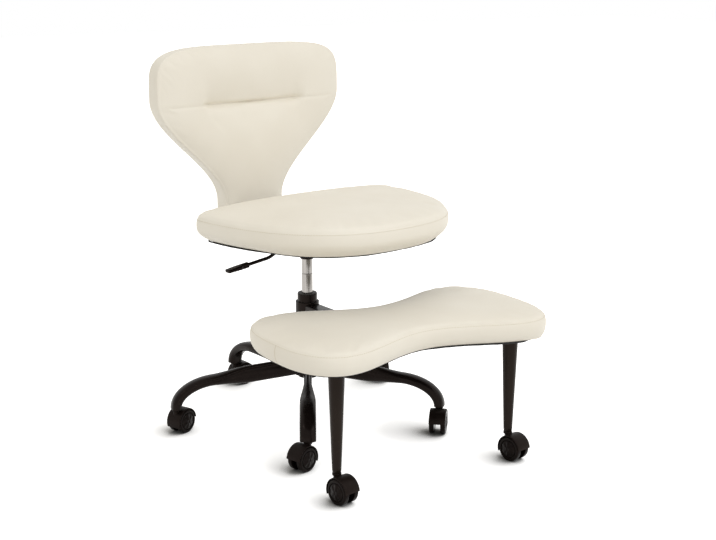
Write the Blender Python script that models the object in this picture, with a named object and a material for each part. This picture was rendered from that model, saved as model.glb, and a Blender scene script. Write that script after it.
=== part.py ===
# Meditation chair: a wide swivel seat with a spoon-shaped back on a gas lift, a five-leg steel base,
# and a bow-tie footrest that swings round the column on two legs of its own. Metres, +Z up, front is -Y.
import math

import bmesh
import bpy
from mathutils import Matrix, Vector

for old in list(bpy.data.objects):
    bpy.data.objects.remove(old, do_unlink=True)

# Fits
fit_gap = 0.0003             # two pieces that touch
weld_gap = 0.0007            # a straight end against a round tube
running_gap = 0.0006         # two pieces that turn or slide in one another

# Where the column stands, so that the origin is under the middle of the whole chair
column_setback = 0.1122

# Casters: twin wheels under a hood, on a steel stem
wheel_radius = 0.030
wheel_width = 0.0125
wheel_edge = 0.0028
wheel_segments = 18
hub_cap_radius = 0.0195
hub_cap_recess = 0.0022
hood_wall = 0.0022
hood_clearance = 0.0010
hood_web = 0.0150
hood_reach = 20.0            # degrees that the hood comes down past the axle, each side
caster_height = 0.0655
caster_trail = 0.020
boss_radius = 0.0075
boss_collar = 0.0105          # the boss is this wide above the hood
stem_radius = 0.0055
stem_seat = 0.016            # how far the stem goes down into the hood's boss
stem_reach = 0.024           # how far the stem goes up into a leg
axle_radius = 0.004

# Five-leg base pressed from round tube
star_radius = 0.346
star_turn = 23.0             # angle of the first leg, degrees from +X
leg_count = 5
leg_root_height = 0.1425
leg_knee_height = 0.130
leg_bend_reach = 0.105       # the leg turns down over this length
leg_root_width = 0.021
leg_root_depth = 0.045
leg_end_width = 0.039
leg_end_depth = 0.026
press_start = 0.150          # the section changes from one to the other between these radii
press_end = 0.260
hub_wall = 0.004
hub_length = 0.050
base_caster_turns = (68.0, 4.0, 24.0, -163.0, -133.0)

# Column and gas lift
tube_radius = 0.025
tube_wall = 0.0016
tube_top = 0.332
tube_bottom = 0.1135
tube_floor = 0.003
bush_length = 0.075
bush_lip = 0.0025
cylinder_radius = 0.014
cylinder_length = 0.220
groove_drop = 0.038          # a groove this far below the seat socket
groove_depth = 0.0008
rod_radius = 0.005
rod_top = 0.300
rod_bore_depth = 0.185
rod_tail = 0.004
rod_flange_radius = 0.009
rod_flange_height = 0.003
bearing_radius = 0.0115
bearing_height = 0.005
clip_radius = 0.0085
clip_thickness = 0.0012
cone_height = 0.057
cone_top_radius = 0.0128
pin_radius = 0.003
pin_rise = 0.005
pin_length = 0.016

# Seat
seat_height = 0.505          # underside of the cushion
seat_turn = 8.0              # degrees that the seat is swivelled from straight ahead
seat_half_width = 0.310
seat_front = 0.365           # ahead of the column
seat_rear = 0.100            # behind the column
seat_widest = 0.025          # where it is widest, behind the column
seat_front_round = 2.38
seat_rear_round = 2.0
seat_boxing = 0.062          # height of the sewn side band
seat_crown = 0.014           # rise of the top above that band
seat_board_thickness = 0.012
cover_thickness = 0.0015
seat_tuck = 0.031            # the leather is drawn in this far at the underside
board_margin = 0.017         # board and dust cover, in from there
cover_margin = 0.001
seam_inset = 0.007           # and this far along the seam at the top of the side band

# Seat mechanism: a hat-section pressing with the socket for the lift
flange_half_width = 0.080
channel_half_width = 0.040
channel_depth = 0.045
pressing_thickness = 0.003
mechanism_length = 0.140
socket_drop = 0.082          # mouth of the socket below the cushion
socket_wall = 0.0028
socket_clear = 0.004         # the socket ends this far under the top of the lift's cone
bolt_head_radius = 0.0058
bolt_head_height = 0.004
flange_bolt_out = 0.060      # seat bolts, each side of the column
flange_bolt_along = (-0.055, 0.030)   # seat bolts, ahead of and behind the column

# Height lever
lever_radius = 0.004
lever_tip = 0.003            # end of the rod past the release pin
lever_pivot = 0.0385
lever_shoulder = 0.062
lever_elbow = 0.148
lever_elbow_drop = 0.051
lever_fillet = 0.014
paddle_start = 0.184
paddle_end = 0.246
paddle_fall = 0.012          # fall of the rod and paddle from the elbow to the paddle's end
paddle_socket = 0.022
paddle_half_width = 0.011
paddle_thickness = 0.010

# Back
back_reach = 0.272           # rear of the back panel behind the column, level with the seat's underside
back_lean = 0.5              # degrees
back_half_width = 0.283
back_neck = 0.088
back_bottom = -0.008         # heights along the back, from the seat's underside
back_neck_end = 0.040
back_widest = 0.308
back_top = 0.439
back_arch = 4.8              # squareness of the top
back_seam = 0.293
back_side = 0.050            # thickness at the sides
back_edge = 0.016            # roundness of its upper and lower ends
back_crown = 0.008           # and how much fuller it is in the middle
back_panel_thickness = 0.008
back_panel_inset = 0.006
seam_width = 0.005
seam_depth = 0.002
pleat_depth = 0.008
pleat_share = 0.55           # length of the pleat as a share of the width
bar_width = 0.060
bar_thickness = 0.005
bar_bend_radius = 0.028
bar_start = 0.026            # behind the column
bar_top = 0.235
bar_bolt_first = 0.080       # bolts up the back bar
bar_bolt_pitch = 0.120
bar_bolt_out = 0.018
bar_foot_bolts = (0.040, 0.060)

# Footrest
rest_height = 0.315          # underside of the cushion
rest_half_width = 0.342
rest_middle = 0.413          # ahead of the column
rest_waist = 0.111           # half depth at the waist
rest_lobe = 0.247            # half depth that the lobes grow to
rest_full = 1.04             # where that growth ends, as a share of the half width
rest_round = 2.8
rest_boxing = 0.047
rest_crown = 0.013
rest_board_thickness = 0.012
rest_tuck = 0.009
sleeve_wall = 0.0022
liner_wall = 0.0018
arm_width = 0.040
arm_depth = 0.025
arm_wall = 0.002
arm_end = 0.470
arm_bend = 0.300             # ahead of this the arm is level under the board
arm_drop = 0.006             # and its rear end is this much lower
arm_bolts = (0.335, 0.435)
rest_leg_out = 0.240
rest_leg_ahead = 0.497
rest_leg_shift = 0.015       # middle of the two legs, right of the column
rest_leg_top_radius = 0.019
rest_leg_end_radius = 0.0105
rest_leg_tip = 0.006         # rounding at the lower end
rest_flange_radius = 0.038
rest_flange_thickness = 0.003
rest_bolt_circle = 0.029
rest_bolts_each = 3
rest_caster_turn = -80.0

# How finely round things are drawn
column_segments = 24
leg_segments = 20
small_segments = 12
rod_segments = 8
hood_steps = 13
bend_steps = 6
outline_points = 48
outline_fineness = 16        # a cushion's outline is first drawn this much finer, then spaced evenly

# Roundness of pressed and moulded sections, and of the cushions' crowns
tube_squareness = 0.8
paddle_squareness = 0.6
crown_squareness = 3.0
crown_rings = (0.985, 0.955, 0.89, 0.77, 0.60, 0.38, 0.14)
back_rows = 14
arch_rows = (0.25, 0.45, 0.62, 0.76, 0.87, 0.945, 0.985, 0.998)
front_columns = (-0.97, -0.85, -0.6, -0.3, 0.0, 0.3, 0.6, 0.85, 0.97)

# Heights and radii that follow
axle_height = wheel_radius * math.cos(math.pi / wheel_segments)
hood_inner = wheel_radius + hood_clearance
hood_radius = hood_inner + hood_wall
wheel_inner_face = hood_web / 2 + running_gap
hood_half_width = wheel_inner_face + wheel_width
leg_end_height = caster_height + fit_gap
stem_top = caster_height + stem_reach
stem_bore = stem_radius + fit_gap
stem_bore_top = stem_top + fit_gap
hub_bore = tube_radius + fit_gap
hub_radius = hub_bore + hub_wall
hub_top = leg_root_height + hub_length / 2
hub_bottom = leg_root_height - hub_length / 2
tube_bore = tube_radius - tube_wall
bush_bore = cylinder_radius + fit_gap
rod_bore = rod_radius + running_gap
bearing_bottom = tube_bottom + tube_floor + fit_gap
rod_flange_bottom = bearing_bottom + bearing_height + fit_gap
socket_mouth = seat_height - socket_drop
cone_top = socket_mouth + cone_height
cylinder_bottom = socket_mouth - cylinder_length
pin_top = cone_top + pin_rise
lever_height = pin_top + running_gap + lever_radius
pressing_top = seat_height - cover_thickness - 2 * fit_gap
flange_under = pressing_top - pressing_thickness
channel_floor = pressing_top - channel_depth + pressing_thickness
bar_middle = channel_floor + fit_gap + bar_thickness / 2
liner_bore = tube_radius + running_gap
liner_radius = liner_bore + liner_wall
sleeve_bore = liner_radius + fit_gap
sleeve_radius = sleeve_bore + sleeve_wall
sleeve_bottom = hub_top + running_gap
arm_top = rest_height - cover_thickness - 2 * fit_gap
arm_under = arm_top - arm_depth
rest_flange_under = arm_top - rest_flange_thickness


def paint(name, colour, roughness, metallic=0.0):
    material = bpy.data.materials.new(name)
    material.use_nodes = True
    shader = material.node_tree.nodes["Principled BSDF"]
    shader.inputs["Base Color"].default_value = (*colour, 1.0)
    shader.inputs["Roughness"].default_value = roughness
    shader.inputs["Metallic"].default_value = metallic
    return material


cream_leather = paint("cream_leather", (0.80, 0.76, 0.66), 0.55)
black_paint = paint("black_paint", (0.012, 0.010, 0.010), 0.28, 0.2)
black_plastic = paint("black_plastic", (0.014, 0.012, 0.012), 0.42)
grey_plastic = paint("grey_plastic", (0.16, 0.16, 0.16), 0.5)
black_cloth = paint("black_cloth", (0.012, 0.012, 0.013), 0.9)
plywood = paint("plywood", (0.55, 0.38, 0.22), 0.7)
chrome = paint("chrome", (0.62, 0.60, 0.58), 0.16, 1.0)
zinc_steel = paint("zinc_steel", (0.50, 0.50, 0.50), 0.35, 1.0)


def empty(name, place, parent=None, turn=(0.0, 0.0, 0.0)):
    marker = bpy.data.objects.new(name, None)
    bpy.context.collection.objects.link(marker)
    marker.parent = parent
    marker.location = place
    marker.rotation_euler = turn
    return marker


def link(name, mesh, material, parent, place=(0.0, 0.0, 0.0), turn=(0.0, 0.0, 0.0)):
    piece = bpy.data.objects.new(name, mesh)
    bpy.context.collection.objects.link(piece)
    if material is not None and not mesh.materials:
        mesh.materials.append(material)
    piece.parent = parent
    piece.location = place
    piece.rotation_euler = turn
    return piece


def soften(mesh):
    mesh.shade_smooth()
    mesh.set_sharp_from_angle(angle=math.radians(38))
    return mesh


def loft(groups, closed=False):
    # Skin each group of equal rings into a body of its own; a closed group runs back to its first ring.
    bm = bmesh.new()
    for rings in groups:
        loops = [[bm.verts.new(point) for point in ring] for ring in rings]
        pairs = list(zip(loops, loops[1:]))
        if closed:
            pairs.append((loops[-1], loops[0]))
        for near, far in pairs:
            for i in range(len(near)):
                j = (i + 1) % len(near)
                bm.faces.new((near[i], near[j], far[j], far[i]))
        if not closed:
            bm.faces.new(list(reversed(loops[0])))
            bm.faces.new(loops[-1])
    bmesh.ops.recalc_face_normals(bm, faces=bm.faces)
    mesh = bpy.data.meshes.new("skin")
    bm.to_mesh(mesh)
    bm.free()
    return soften(mesh)


def circle(radius, height, segments, centre=(0.0, 0.0), start=0.0):
    middle = Vector((centre[0], centre[1], height))
    angles = [start + 2 * math.pi * i / segments for i in range(segments)]
    return [middle + radius * Vector((math.cos(a), math.sin(a), 0.0)) for a in angles]


def turned_rings(profile, segments, centre=(0.0, 0.0), start=0.0):
    return [circle(radius, height, segments, centre, start) for radius, height in profile]


def turned(profile, segments):
    # A solid of revolution about Z with flat ends.
    return loft([turned_rings(profile, segments)])


def turned_ring(profile, segments):
    # A bored piece: the closed profile is carried once round Z.
    rings = []
    for i in range(segments):
        turn = Matrix.Rotation(2 * math.pi * i / segments, 4, "Z")
        rings.append([turn @ Vector((radius, 0.0, height)) for radius, height in profile])
    return loft([rings], closed=True)


def combine(piece, other, operation):
    bpy.context.view_layer.update()
    step = piece.modifiers.new(operation.lower(), "BOOLEAN")
    step.operation = operation
    step.object = other
    graph = bpy.context.evaluated_depsgraph_get()
    result = bpy.data.meshes.new_from_object(piece.evaluated_get(graph))
    piece.modifiers.clear()
    piece.data = soften(result)
    bpy.data.objects.remove(other, do_unlink=True)
    return piece


def drill(piece, holes, radius, low, high, turn=(0.0, 0.0, 0.0)):
    # Round holes along Z, or along the axis that the turn brings Z to.
    groups = [turned_rings([(radius, low), (radius, high)], small_segments, hole) for hole in holes]
    cutter = link("drill", loft(groups), None, piece, turn=turn)
    return combine(piece, cutter, "DIFFERENCE")


def bolt_heads(piece, places, bearing, frame=None, turn=(0.0, 0.0, 0.0)):
    # Hexagonal bolt heads standing down from a face of the piece, rooted a little way into it.
    root = bearing + bolt_head_height / 4
    profile = [(bolt_head_radius * 0.9, bearing - bolt_head_height)]
    profile += [(bolt_head_radius, bearing - bolt_head_height * 0.8), (bolt_head_radius, root)]
    groups = [turned_rings(profile, 6, place) for place in places]
    heads = link("heads", loft(groups), None, frame or piece, turn=turn)
    return combine(piece, heads, "UNION")


def smooth_step(share):
    share = min(max(share, 0.0), 1.0)
    return share * share * (3 - 2 * share)


def signed_power(value, power):
    return math.copysign(abs(value) ** power, value)


def filleted(points, radius, steps=4):
    # Round each corner of a path with a parabola that leaves its legs this far from the corner.
    path = [points[0]]
    for before, corner, after in zip(points, points[1:], points[2:]):
        start = corner + (before - corner).normalized() * radius
        end = corner + (after - corner).normalized() * radius
        for i in range(steps + 1):
            t = i / steps
            path.append(start * (1 - t) ** 2 + corner * 2 * t * (1 - t) + end * t * t)
    path.append(points[-1])
    return path


def tangents(path):
    last = len(path) - 1
    return [(path[min(i + 1, last)] - path[max(i - 1, 0)]).normalized() for i in range(len(path))]


column = empty("column_axis", (0.0, column_setback, 0.0))

# Casters


def hood_mesh():
    # A T section, web and curved roof, carried round the axle, with a stem boss and moulded axle ends.
    web = hood_web / 2
    core = axle_radius / 2
    section = [(-web, core), (web, core), (web, hood_inner)]
    section += [(hood_half_width, hood_inner), (hood_half_width, hood_radius)]
    section += [(-hood_half_width, hood_radius), (-hood_half_width, hood_inner), (-web, hood_inner)]
    rings = []
    for i in range(hood_steps):
        angle = math.radians(-hood_reach + (180 + 2 * hood_reach) * i / (hood_steps - 1))
        x, z = math.cos(angle), math.sin(angle)
        rings.append([Vector((caster_trail + r * x, y, axle_height + r * z)) for y, r in section])
    hood = link("hood", loft([rings]), black_plastic, None)
    boss_root = axle_height + stem_radius
    collar_root = axle_height + hood_inner
    boss = [(boss_radius, boss_root), (boss_radius, collar_root)]
    boss += [(boss_collar, collar_root), (boss_collar, caster_height)]
    combine(hood, link("boss", turned(boss, small_segments), None, None), "UNION")
    half = hood_half_width - hub_cap_recess * 2 - running_gap
    axle = turned([(axle_radius, -half), (axle_radius, half)], small_segments)
    spot = (caster_trail, 0.0, axle_height)
    combine(hood, link("axle", axle, None, None, spot, (math.pi / 2, 0.0, 0.0)), "UNION")
    drill(hood, [(0.0, 0.0)], stem_bore, caster_height - stem_seat, caster_height + stem_radius)
    mesh = hood.data
    bpy.data.objects.remove(hood, do_unlink=True)
    return mesh


def stem_mesh():
    # Steel stem with the groove of its grip ring.
    groove = caster_height + stem_reach * 0.6
    width = stem_radius / 2
    waist = stem_radius - width / 3
    stem = [(stem_radius, caster_height - stem_seat + fit_gap), (stem_radius, groove - width)]
    stem += [(waist, groove - width / 2), (waist, groove + width / 2)]
    stem += [(stem_radius, groove + width), (stem_radius, stem_top)]
    return turned(stem, small_segments)


def wheel_mesh():
    # Turned about Y from its inner face: blind bore, tread with rounded outer edge, recessed cap.
    bore = axle_radius + running_gap
    blind = wheel_width - hub_cap_recess * 2
    profile = [(bore, blind), (bore, 0.0), (wheel_radius, 0.0), (wheel_radius, wheel_width - wheel_edge)]
    profile += [(wheel_radius - wheel_edge, wheel_width), (hub_cap_radius + hub_cap_recess, wheel_width)]
    profile += [(hub_cap_radius, wheel_width - hub_cap_recess)]
    profile += [(hub_cap_radius - hub_cap_recess * 2, wheel_width - hub_cap_recess / 2)]
    lay = Matrix.Rotation(-math.pi / 2, 4, "X")
    flat_down = math.pi / 2 + math.pi / wheel_segments
    rings = turned_rings(profile, wheel_segments, start=flat_down)
    return loft([[[lay @ p for p in ring] for ring in rings]])


caster_meshes = {"hood": hood_mesh(), "stem": stem_mesh(), "wheel": wheel_mesh()}


def caster(name, place, turn):
    stem = empty(name + "_stem_axis", (place[0], place[1], 0.0), column, (0.0, 0.0, math.radians(turn)))
    link(name + "_hood", caster_meshes["hood"], black_plastic, stem)
    link(name + "_stem", caster_meshes["stem"], zinc_steel, stem)
    for side, flip in (("a", 0.0), ("b", math.pi)):
        out = wheel_inner_face if side == "a" else -wheel_inner_face
        spot = (caster_trail, out, axle_height)
        link(name + "_wheel_" + side, caster_meshes["wheel"], black_plastic, stem, spot, (0.0, 0.0, flip))


# Base


def leg_mesh():
    # Round tube pressed tall and narrow at the hub, and flat and wide where it turns down over the caster.
    knee = star_radius - leg_bend_reach
    drop = leg_knee_height - leg_end_height
    root = Vector((hub_radius + fit_gap, 0.0, leg_root_height))
    bend = Vector((knee, 0.0, leg_knee_height))
    path = [root.lerp(bend, i / bend_steps) for i in range(bend_steps)]
    for i in range(bend_steps + 1):
        angle = math.pi / 2 * i / bend_steps
        out = knee + leg_bend_reach * math.sin(angle)
        path.append(Vector((out, 0.0, leg_end_height + drop * math.cos(angle))))
    along = tangents(path)
    along[0] = Vector((1.0, 0.0, 0.0))
    along[-1] = Vector((0.0, 0.0, -1.0))
    rings = []
    for point, tangent in zip(path, along):
        share = smooth_step((point.x - press_start) / (press_end - press_start))
        half_width = (leg_root_width + (leg_end_width - leg_root_width) * share) / 2
        half_depth = (leg_root_depth + (leg_end_depth - leg_root_depth) * share) / 2
        up = Vector((-tangent.z, 0.0, tangent.x))
        ring = []
        for i in range(small_segments):
            angle = 2 * math.pi * (i + 0.5) / small_segments
            across = signed_power(math.cos(angle), tube_squareness) * half_width
            rise = signed_power(math.sin(angle), tube_squareness) * half_depth
            ring.append(point + Vector((0.0, across, 0.0)) + up * rise)
        rings.append(ring)
    leg = link("leg", loft([rings]), black_paint, None)
    drill(leg, [(star_radius, 0.0)], stem_bore, leg_end_height - stem_radius, stem_bore_top)
    mesh = leg.data
    bpy.data.objects.remove(leg, do_unlink=True)
    return mesh


def base():
    edge = hub_wall / 2
    ring = [(hub_bore, hub_bottom), (hub_bore, hub_top)]
    ring += [(hub_radius - edge, hub_top), (hub_radius, hub_top - edge)]
    ring += [(hub_radius, hub_bottom + edge), (hub_radius - edge, hub_bottom)]
    link("base_hub", turned_ring(ring, column_segments), black_paint, column)
    mesh = leg_mesh()
    for i in range(leg_count):
        turn = math.radians(star_turn + 360 * i / leg_count)
        link(f"base_leg_{i + 1}", mesh, black_paint, column, turn=(0.0, 0.0, turn))
        spot = (star_radius * math.cos(turn), star_radius * math.sin(turn))
        caster(f"base_caster_{i + 1}", spot, base_caster_turns[i])


# Column


def column_parts():
    floor_top = tube_bottom + tube_floor
    hole = rod_radius + fit_gap
    tube = [(hole, tube_bottom), (tube_radius, tube_bottom), (tube_radius, tube_top), (tube_bore, tube_top)]
    tube += [(tube_bore, floor_top), (hole, floor_top)]
    link("column_tube", turned_ring(tube, column_segments), black_paint, column)

    lip_bottom = tube_top + fit_gap
    sleeve = tube_bore - fit_gap
    bush = [(bush_bore, lip_bottom + bush_lip), (tube_radius - tube_wall / 2, lip_bottom + bush_lip)]
    bush += [(tube_radius - tube_wall / 2, lip_bottom), (sleeve, lip_bottom)]
    bush += [(sleeve, lip_bottom - bush_length), (bush_bore, lip_bottom - bush_length)]
    link("column_guide_bush", turned_ring(bush, column_segments), grey_plastic, column)

    flange_top = rod_flange_bottom + rod_flange_height
    rod = [(rod_radius, tube_bottom - rod_tail), (rod_radius, rod_flange_bottom)]
    rod += [(rod_flange_radius, rod_flange_bottom), (rod_flange_radius, flange_top)]
    rod += [(rod_radius, flange_top), (rod_radius, rod_top)]
    link("piston_rod", turned(rod, small_segments), zinc_steel, column)

    bearing_top = bearing_bottom + bearing_height
    clip_top = tube_bottom - fit_gap
    clip_bottom = clip_top - clip_thickness
    bearing = [(hole, bearing_bottom), (bearing_radius, bearing_bottom)]
    bearing += [(bearing_radius, bearing_top), (hole, bearing_top)]
    clip = [(hole, clip_bottom), (clip_radius, clip_bottom), (clip_radius, clip_top), (hole, clip_top)]
    link("column_bearing", turned_ring(bearing, small_segments), zinc_steel, column)
    link("column_clip", turned_ring(clip, small_segments), zinc_steel, column)


def lift_parts():
    lift = empty("lift_axis", (0.0, 0.0, 0.0), column)
    mark = socket_mouth - groove_drop
    pin_bore = pin_radius + fit_gap
    edge = groove_depth
    body = [(rod_bore, cylinder_bottom + rod_bore_depth), (rod_bore, cylinder_bottom)]
    body += [(cylinder_radius - edge, cylinder_bottom), (cylinder_radius, cylinder_bottom + edge)]
    body += [(cylinder_radius, mark - edge), (cylinder_radius - edge, mark - edge / 2)]
    body += [(cylinder_radius - edge, mark + edge / 2), (cylinder_radius, mark + edge)]
    body += [(cylinder_radius, socket_mouth), (cone_top_radius, cone_top)]
    body += [(pin_bore, cone_top), (pin_bore, cone_top - pin_length)]
    link("gas_cylinder", turned(body, column_segments), chrome, lift)
    pin = [(pin_radius, pin_top - pin_length), (pin_radius, pin_top - pin_radius / 3)]
    pin += [(pin_radius * 0.7, pin_top)]
    link("release_pin", turned(pin, small_segments), zinc_steel, lift)


# Cushions


def moved_in(outline, distance):
    # The outline pulled in along its own normals.
    count = len(outline)
    result = []
    for i in range(count):
        way = outline[(i + 1) % count] - outline[i - 1]
        normal = Vector((way.y, -way.x)).normalized()
        result.append(outline[i] - normal * distance)
    return result


def drawn_in(outline, middle, distance):
    # The outline pulled straight towards the middle, for corners tighter than the distance.
    return [p + (middle - p).normalized() * distance for p in outline]


def at_height(outline, height):
    return [Vector((p.x, p.y, height)) for p in outline]


def spaced_evenly(curve):
    # The same closed curve, taken at equal steps along its length.
    closed = curve + curve[:1]
    marks = [0.0]
    for before, after in zip(closed, closed[1:]):
        marks.append(marks[-1] + (after - before).length)
    points = []
    at = 0
    for i in range(outline_points):
        goal = marks[-1] * i / outline_points
        while marks[at + 1] < goal:
            at += 1
        share = (goal - marks[at]) / (marks[at + 1] - marks[at])
        points.append(closed[at].lerp(closed[at + 1], share))
    return points


def outline_angles():
    count = outline_points * outline_fineness
    return [2 * math.pi * i / count for i in range(count)]


def seat_outline():
    # Wide oval, rounder in front than behind; listed anticlockwise seen from above.
    points = []
    for angle in outline_angles():
        ahead = math.sin(angle) < 0
        power = 2 / (seat_front_round if ahead else seat_rear_round)
        depth = seat_front + seat_widest if ahead else seat_rear - seat_widest
        x = seat_half_width * signed_power(math.cos(angle), power)
        y = depth * signed_power(math.sin(angle), power) + seat_widest
        points.append(Vector((x, y)))
    return spaced_evenly(points)


def rest_outline():
    # A rounded bar whose half depth grows from the waist into the two lobes.
    points = []
    for angle in outline_angles():
        share = signed_power(math.cos(angle), 2 / rest_round)
        depth = rest_waist + (rest_lobe - rest_waist) * smooth_step(abs(share) / rest_full)
        y = depth * signed_power(math.sin(angle), 2 / rest_round) - rest_middle
        points.append(Vector((rest_half_width * share, y)))
    return spaced_evenly(points)


def cushion_mesh(inner, middle, bottom, boxing, crown, tuck, pocket_depth):
    # Pocket for the board, leather drawn in underneath, full side band, sewn seam, domed top.
    seam = bottom + boxing
    pocket = inner(tuck + board_margin - fit_gap)
    rings = [at_height(pocket, bottom + pocket_depth), at_height(pocket, bottom)]
    band = [(tuck, 0.0), (tuck * 0.64, 0.10), (tuck * 0.27, 0.24), (tuck * 0.08, 0.36), (0.0, 0.55)]
    band += [(seam_inset * 0.35, 0.88), (seam_inset, 1.0)]
    for inset, share in band:
        rings.append(at_height(inner(inset), bottom + boxing * share))
    rolled = inner(seam_inset)
    for share in crown_rings:
        rise = crown * (1 - share ** crown_squareness) ** (1 / crown_squareness)
        shrunk = [middle + (p - middle) * share for p in rolled]
        rings.append(at_height(shrunk, seam + rise))
    return loft([rings])


def flat_sheet(edge, bottom, thickness):
    return loft([[at_height(edge, bottom), at_height(edge, bottom + thickness)]])


# Seat and its mechanism


def mechanism_bolts():
    across = (-flange_bolt_out, flange_bolt_out)
    return [(x, y) for x in across for y in flange_bolt_along]


def seat_parts(seat):
    outline = seat_outline()
    middle = Vector((0.0, (seat_rear - seat_front) / 2))

    def inner(distance):
        return drawn_in(outline, middle, distance)

    pocket = seat_board_thickness + fit_gap
    cushion = cushion_mesh(inner, middle, seat_height, seat_boxing, seat_crown, seat_tuck, pocket)
    link("seat_cushion", cushion, cream_leather, seat)

    board = flat_sheet(inner(seat_tuck + board_margin), seat_height, seat_board_thickness)
    link("seat_board", board, plywood, seat)
    cover = flat_sheet(inner(seat_tuck + cover_margin), pressing_top + fit_gap, cover_thickness)
    link("seat_dust_cover", cover, black_cloth, seat)


def mechanism(seat):
    # Hat section run front to back, a round socket through its floor, a hole for the lever in one wall.
    wall = pressing_thickness
    inner = channel_half_width - wall
    under = channel_floor - wall
    hat = [(-flange_half_width, pressing_top), (-flange_half_width, flange_under)]
    hat += [(-channel_half_width, flange_under), (-channel_half_width, under)]
    hat += [(channel_half_width, under), (channel_half_width, flange_under)]
    hat += [(flange_half_width, flange_under), (flange_half_width, pressing_top)]
    hat += [(inner, pressing_top), (inner, channel_floor), (-inner, channel_floor), (-inner, pressing_top)]
    ends = [[Vector((x, y, z)) for x, z in hat] for y in (-mechanism_length / 2, mechanism_length / 2)]
    body = link("seat_mechanism", loft([ends]), black_paint, seat)

    mouth_bore = cylinder_radius + fit_gap
    socket_radius = mouth_bore + socket_wall
    socket = [(socket_radius, socket_mouth), (socket_radius, cone_top - socket_clear)]
    combine(body, link("socket", turned(socket, column_segments), None, seat), "UNION")
    bore = [(mouth_bore, socket_mouth - socket_wall), (mouth_bore, socket_mouth)]
    bore += [(cone_top_radius + fit_gap, cone_top)]
    combine(body, link("bore", turned(bore, column_segments), None, seat), "DIFFERENCE")

    bolt_heads(body, mechanism_bolts(), flange_under)
    bolt_heads(body, [(0.0, y) for y in bar_foot_bolts], under)
    across = (0.0, math.pi / 2, 0.0)
    lever_hole = lever_radius + 2 * running_gap
    drill(body, [(-lever_height, 0.0)], lever_hole, -channel_half_width - wall, -inner + wall, across)


def lever(seat):
    # A bent rod that rocks in the channel wall; its inner end lies over the release pin.
    pivot = Vector((-lever_pivot, 0.0, lever_height))
    rocker = empty("lever_axis", pivot, seat)
    elbow = Vector((-lever_elbow, 0.0, lever_height - lever_elbow_drop))
    fall = Vector((lever_elbow - paddle_end, 0.0, -paddle_fall)).normalized()
    grip = elbow + fall * (paddle_start - lever_elbow)
    corners = [Vector((lever_tip, 0.0, lever_height)), Vector((-lever_shoulder, 0.0, lever_height)), elbow]
    corners.append(grip + fall * (paddle_socket - fit_gap))
    path = filleted(corners, lever_fillet)
    rings = []
    for point, tangent in zip(path, tangents(path)):
        up = Vector((-tangent.z, 0.0, tangent.x))
        ring = []
        for i in range(rod_segments):
            angle = 2 * math.pi * i / rod_segments
            spoke = up * math.sin(angle) + Vector((0.0, math.cos(angle), 0.0))
            ring.append(point - pivot + lever_radius * spoke)
        rings.append(ring)
    link("lever_rod", loft([rings]), black_paint, rocker)

    # The paddle widens and thins towards its end; finger grooves run across its underside.
    length = paddle_end - paddle_start
    collar = lever_radius + fit_gap + paddle_thickness / 5
    wide = paddle_half_width
    thick = paddle_thickness
    stations = [(0.0, collar, collar), (0.30, collar, collar), (0.42, wide, thick * 0.5)]
    stations += [(0.60, wide, thick * 0.36), (0.72, wide, thick * 0.44)]
    stations += [(0.88, wide, thick * 0.34), (1.0, wide * 0.8, thick * 0.3)]
    rings = []
    for share, half_width, half_height in stations:
        ring = []
        for i in range(small_segments):
            angle = 2 * math.pi * (i + 0.5) / small_segments
            across = half_width * signed_power(math.cos(angle), paddle_squareness)
            rise = half_height * signed_power(math.sin(angle), paddle_squareness)
            ring.append(Vector((-length * share, across, rise)))
        rings.append(ring)
    tilt = (0.0, -math.atan2(-fall.z, -fall.x), 0.0)
    paddle = link("lever_paddle", loft([rings]), black_plastic, rocker, grip - pivot, tilt)
    along_rod = (0.0, math.pi / 2, 0.0)
    drill(paddle, [(0.0, 0.0)], lever_radius + fit_gap, -paddle_socket, lever_radius, along_rod)


# Back


def back_half(height):
    # Straight neck, S-curved shoulders, then a flat arch over the top.
    if height <= back_widest:
        share = smooth_step((height - back_neck_end) / (back_widest - back_neck_end))
        return back_neck + (back_half_width - back_neck) * share
    share = min((height - back_widest) / (back_top - back_widest), 1.0)
    return back_half_width * (1 - share ** back_arch) ** (1 / back_arch)


def back_heights():
    # Even steps up to the widest place, closer ones over the arch and on both sides of the seam.
    rise = back_widest - back_bottom
    heights = [back_bottom + rise * i / back_rows for i in range(back_rows + 1)]
    heights += [back_seam + seam_width * share for share in (-2.0, -0.8, 0.0, 0.8, 2.0)]
    arch = back_top - back_widest
    heights += [back_widest + arch * share for share in arch_rows]
    return sorted(heights)


def rounded_end(distance):
    # A quarter round that is full once this far from the end.
    share = min(max(distance / back_edge, 0.0), 1.0)
    return math.sqrt(1 - (1 - share) ** 2)


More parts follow.
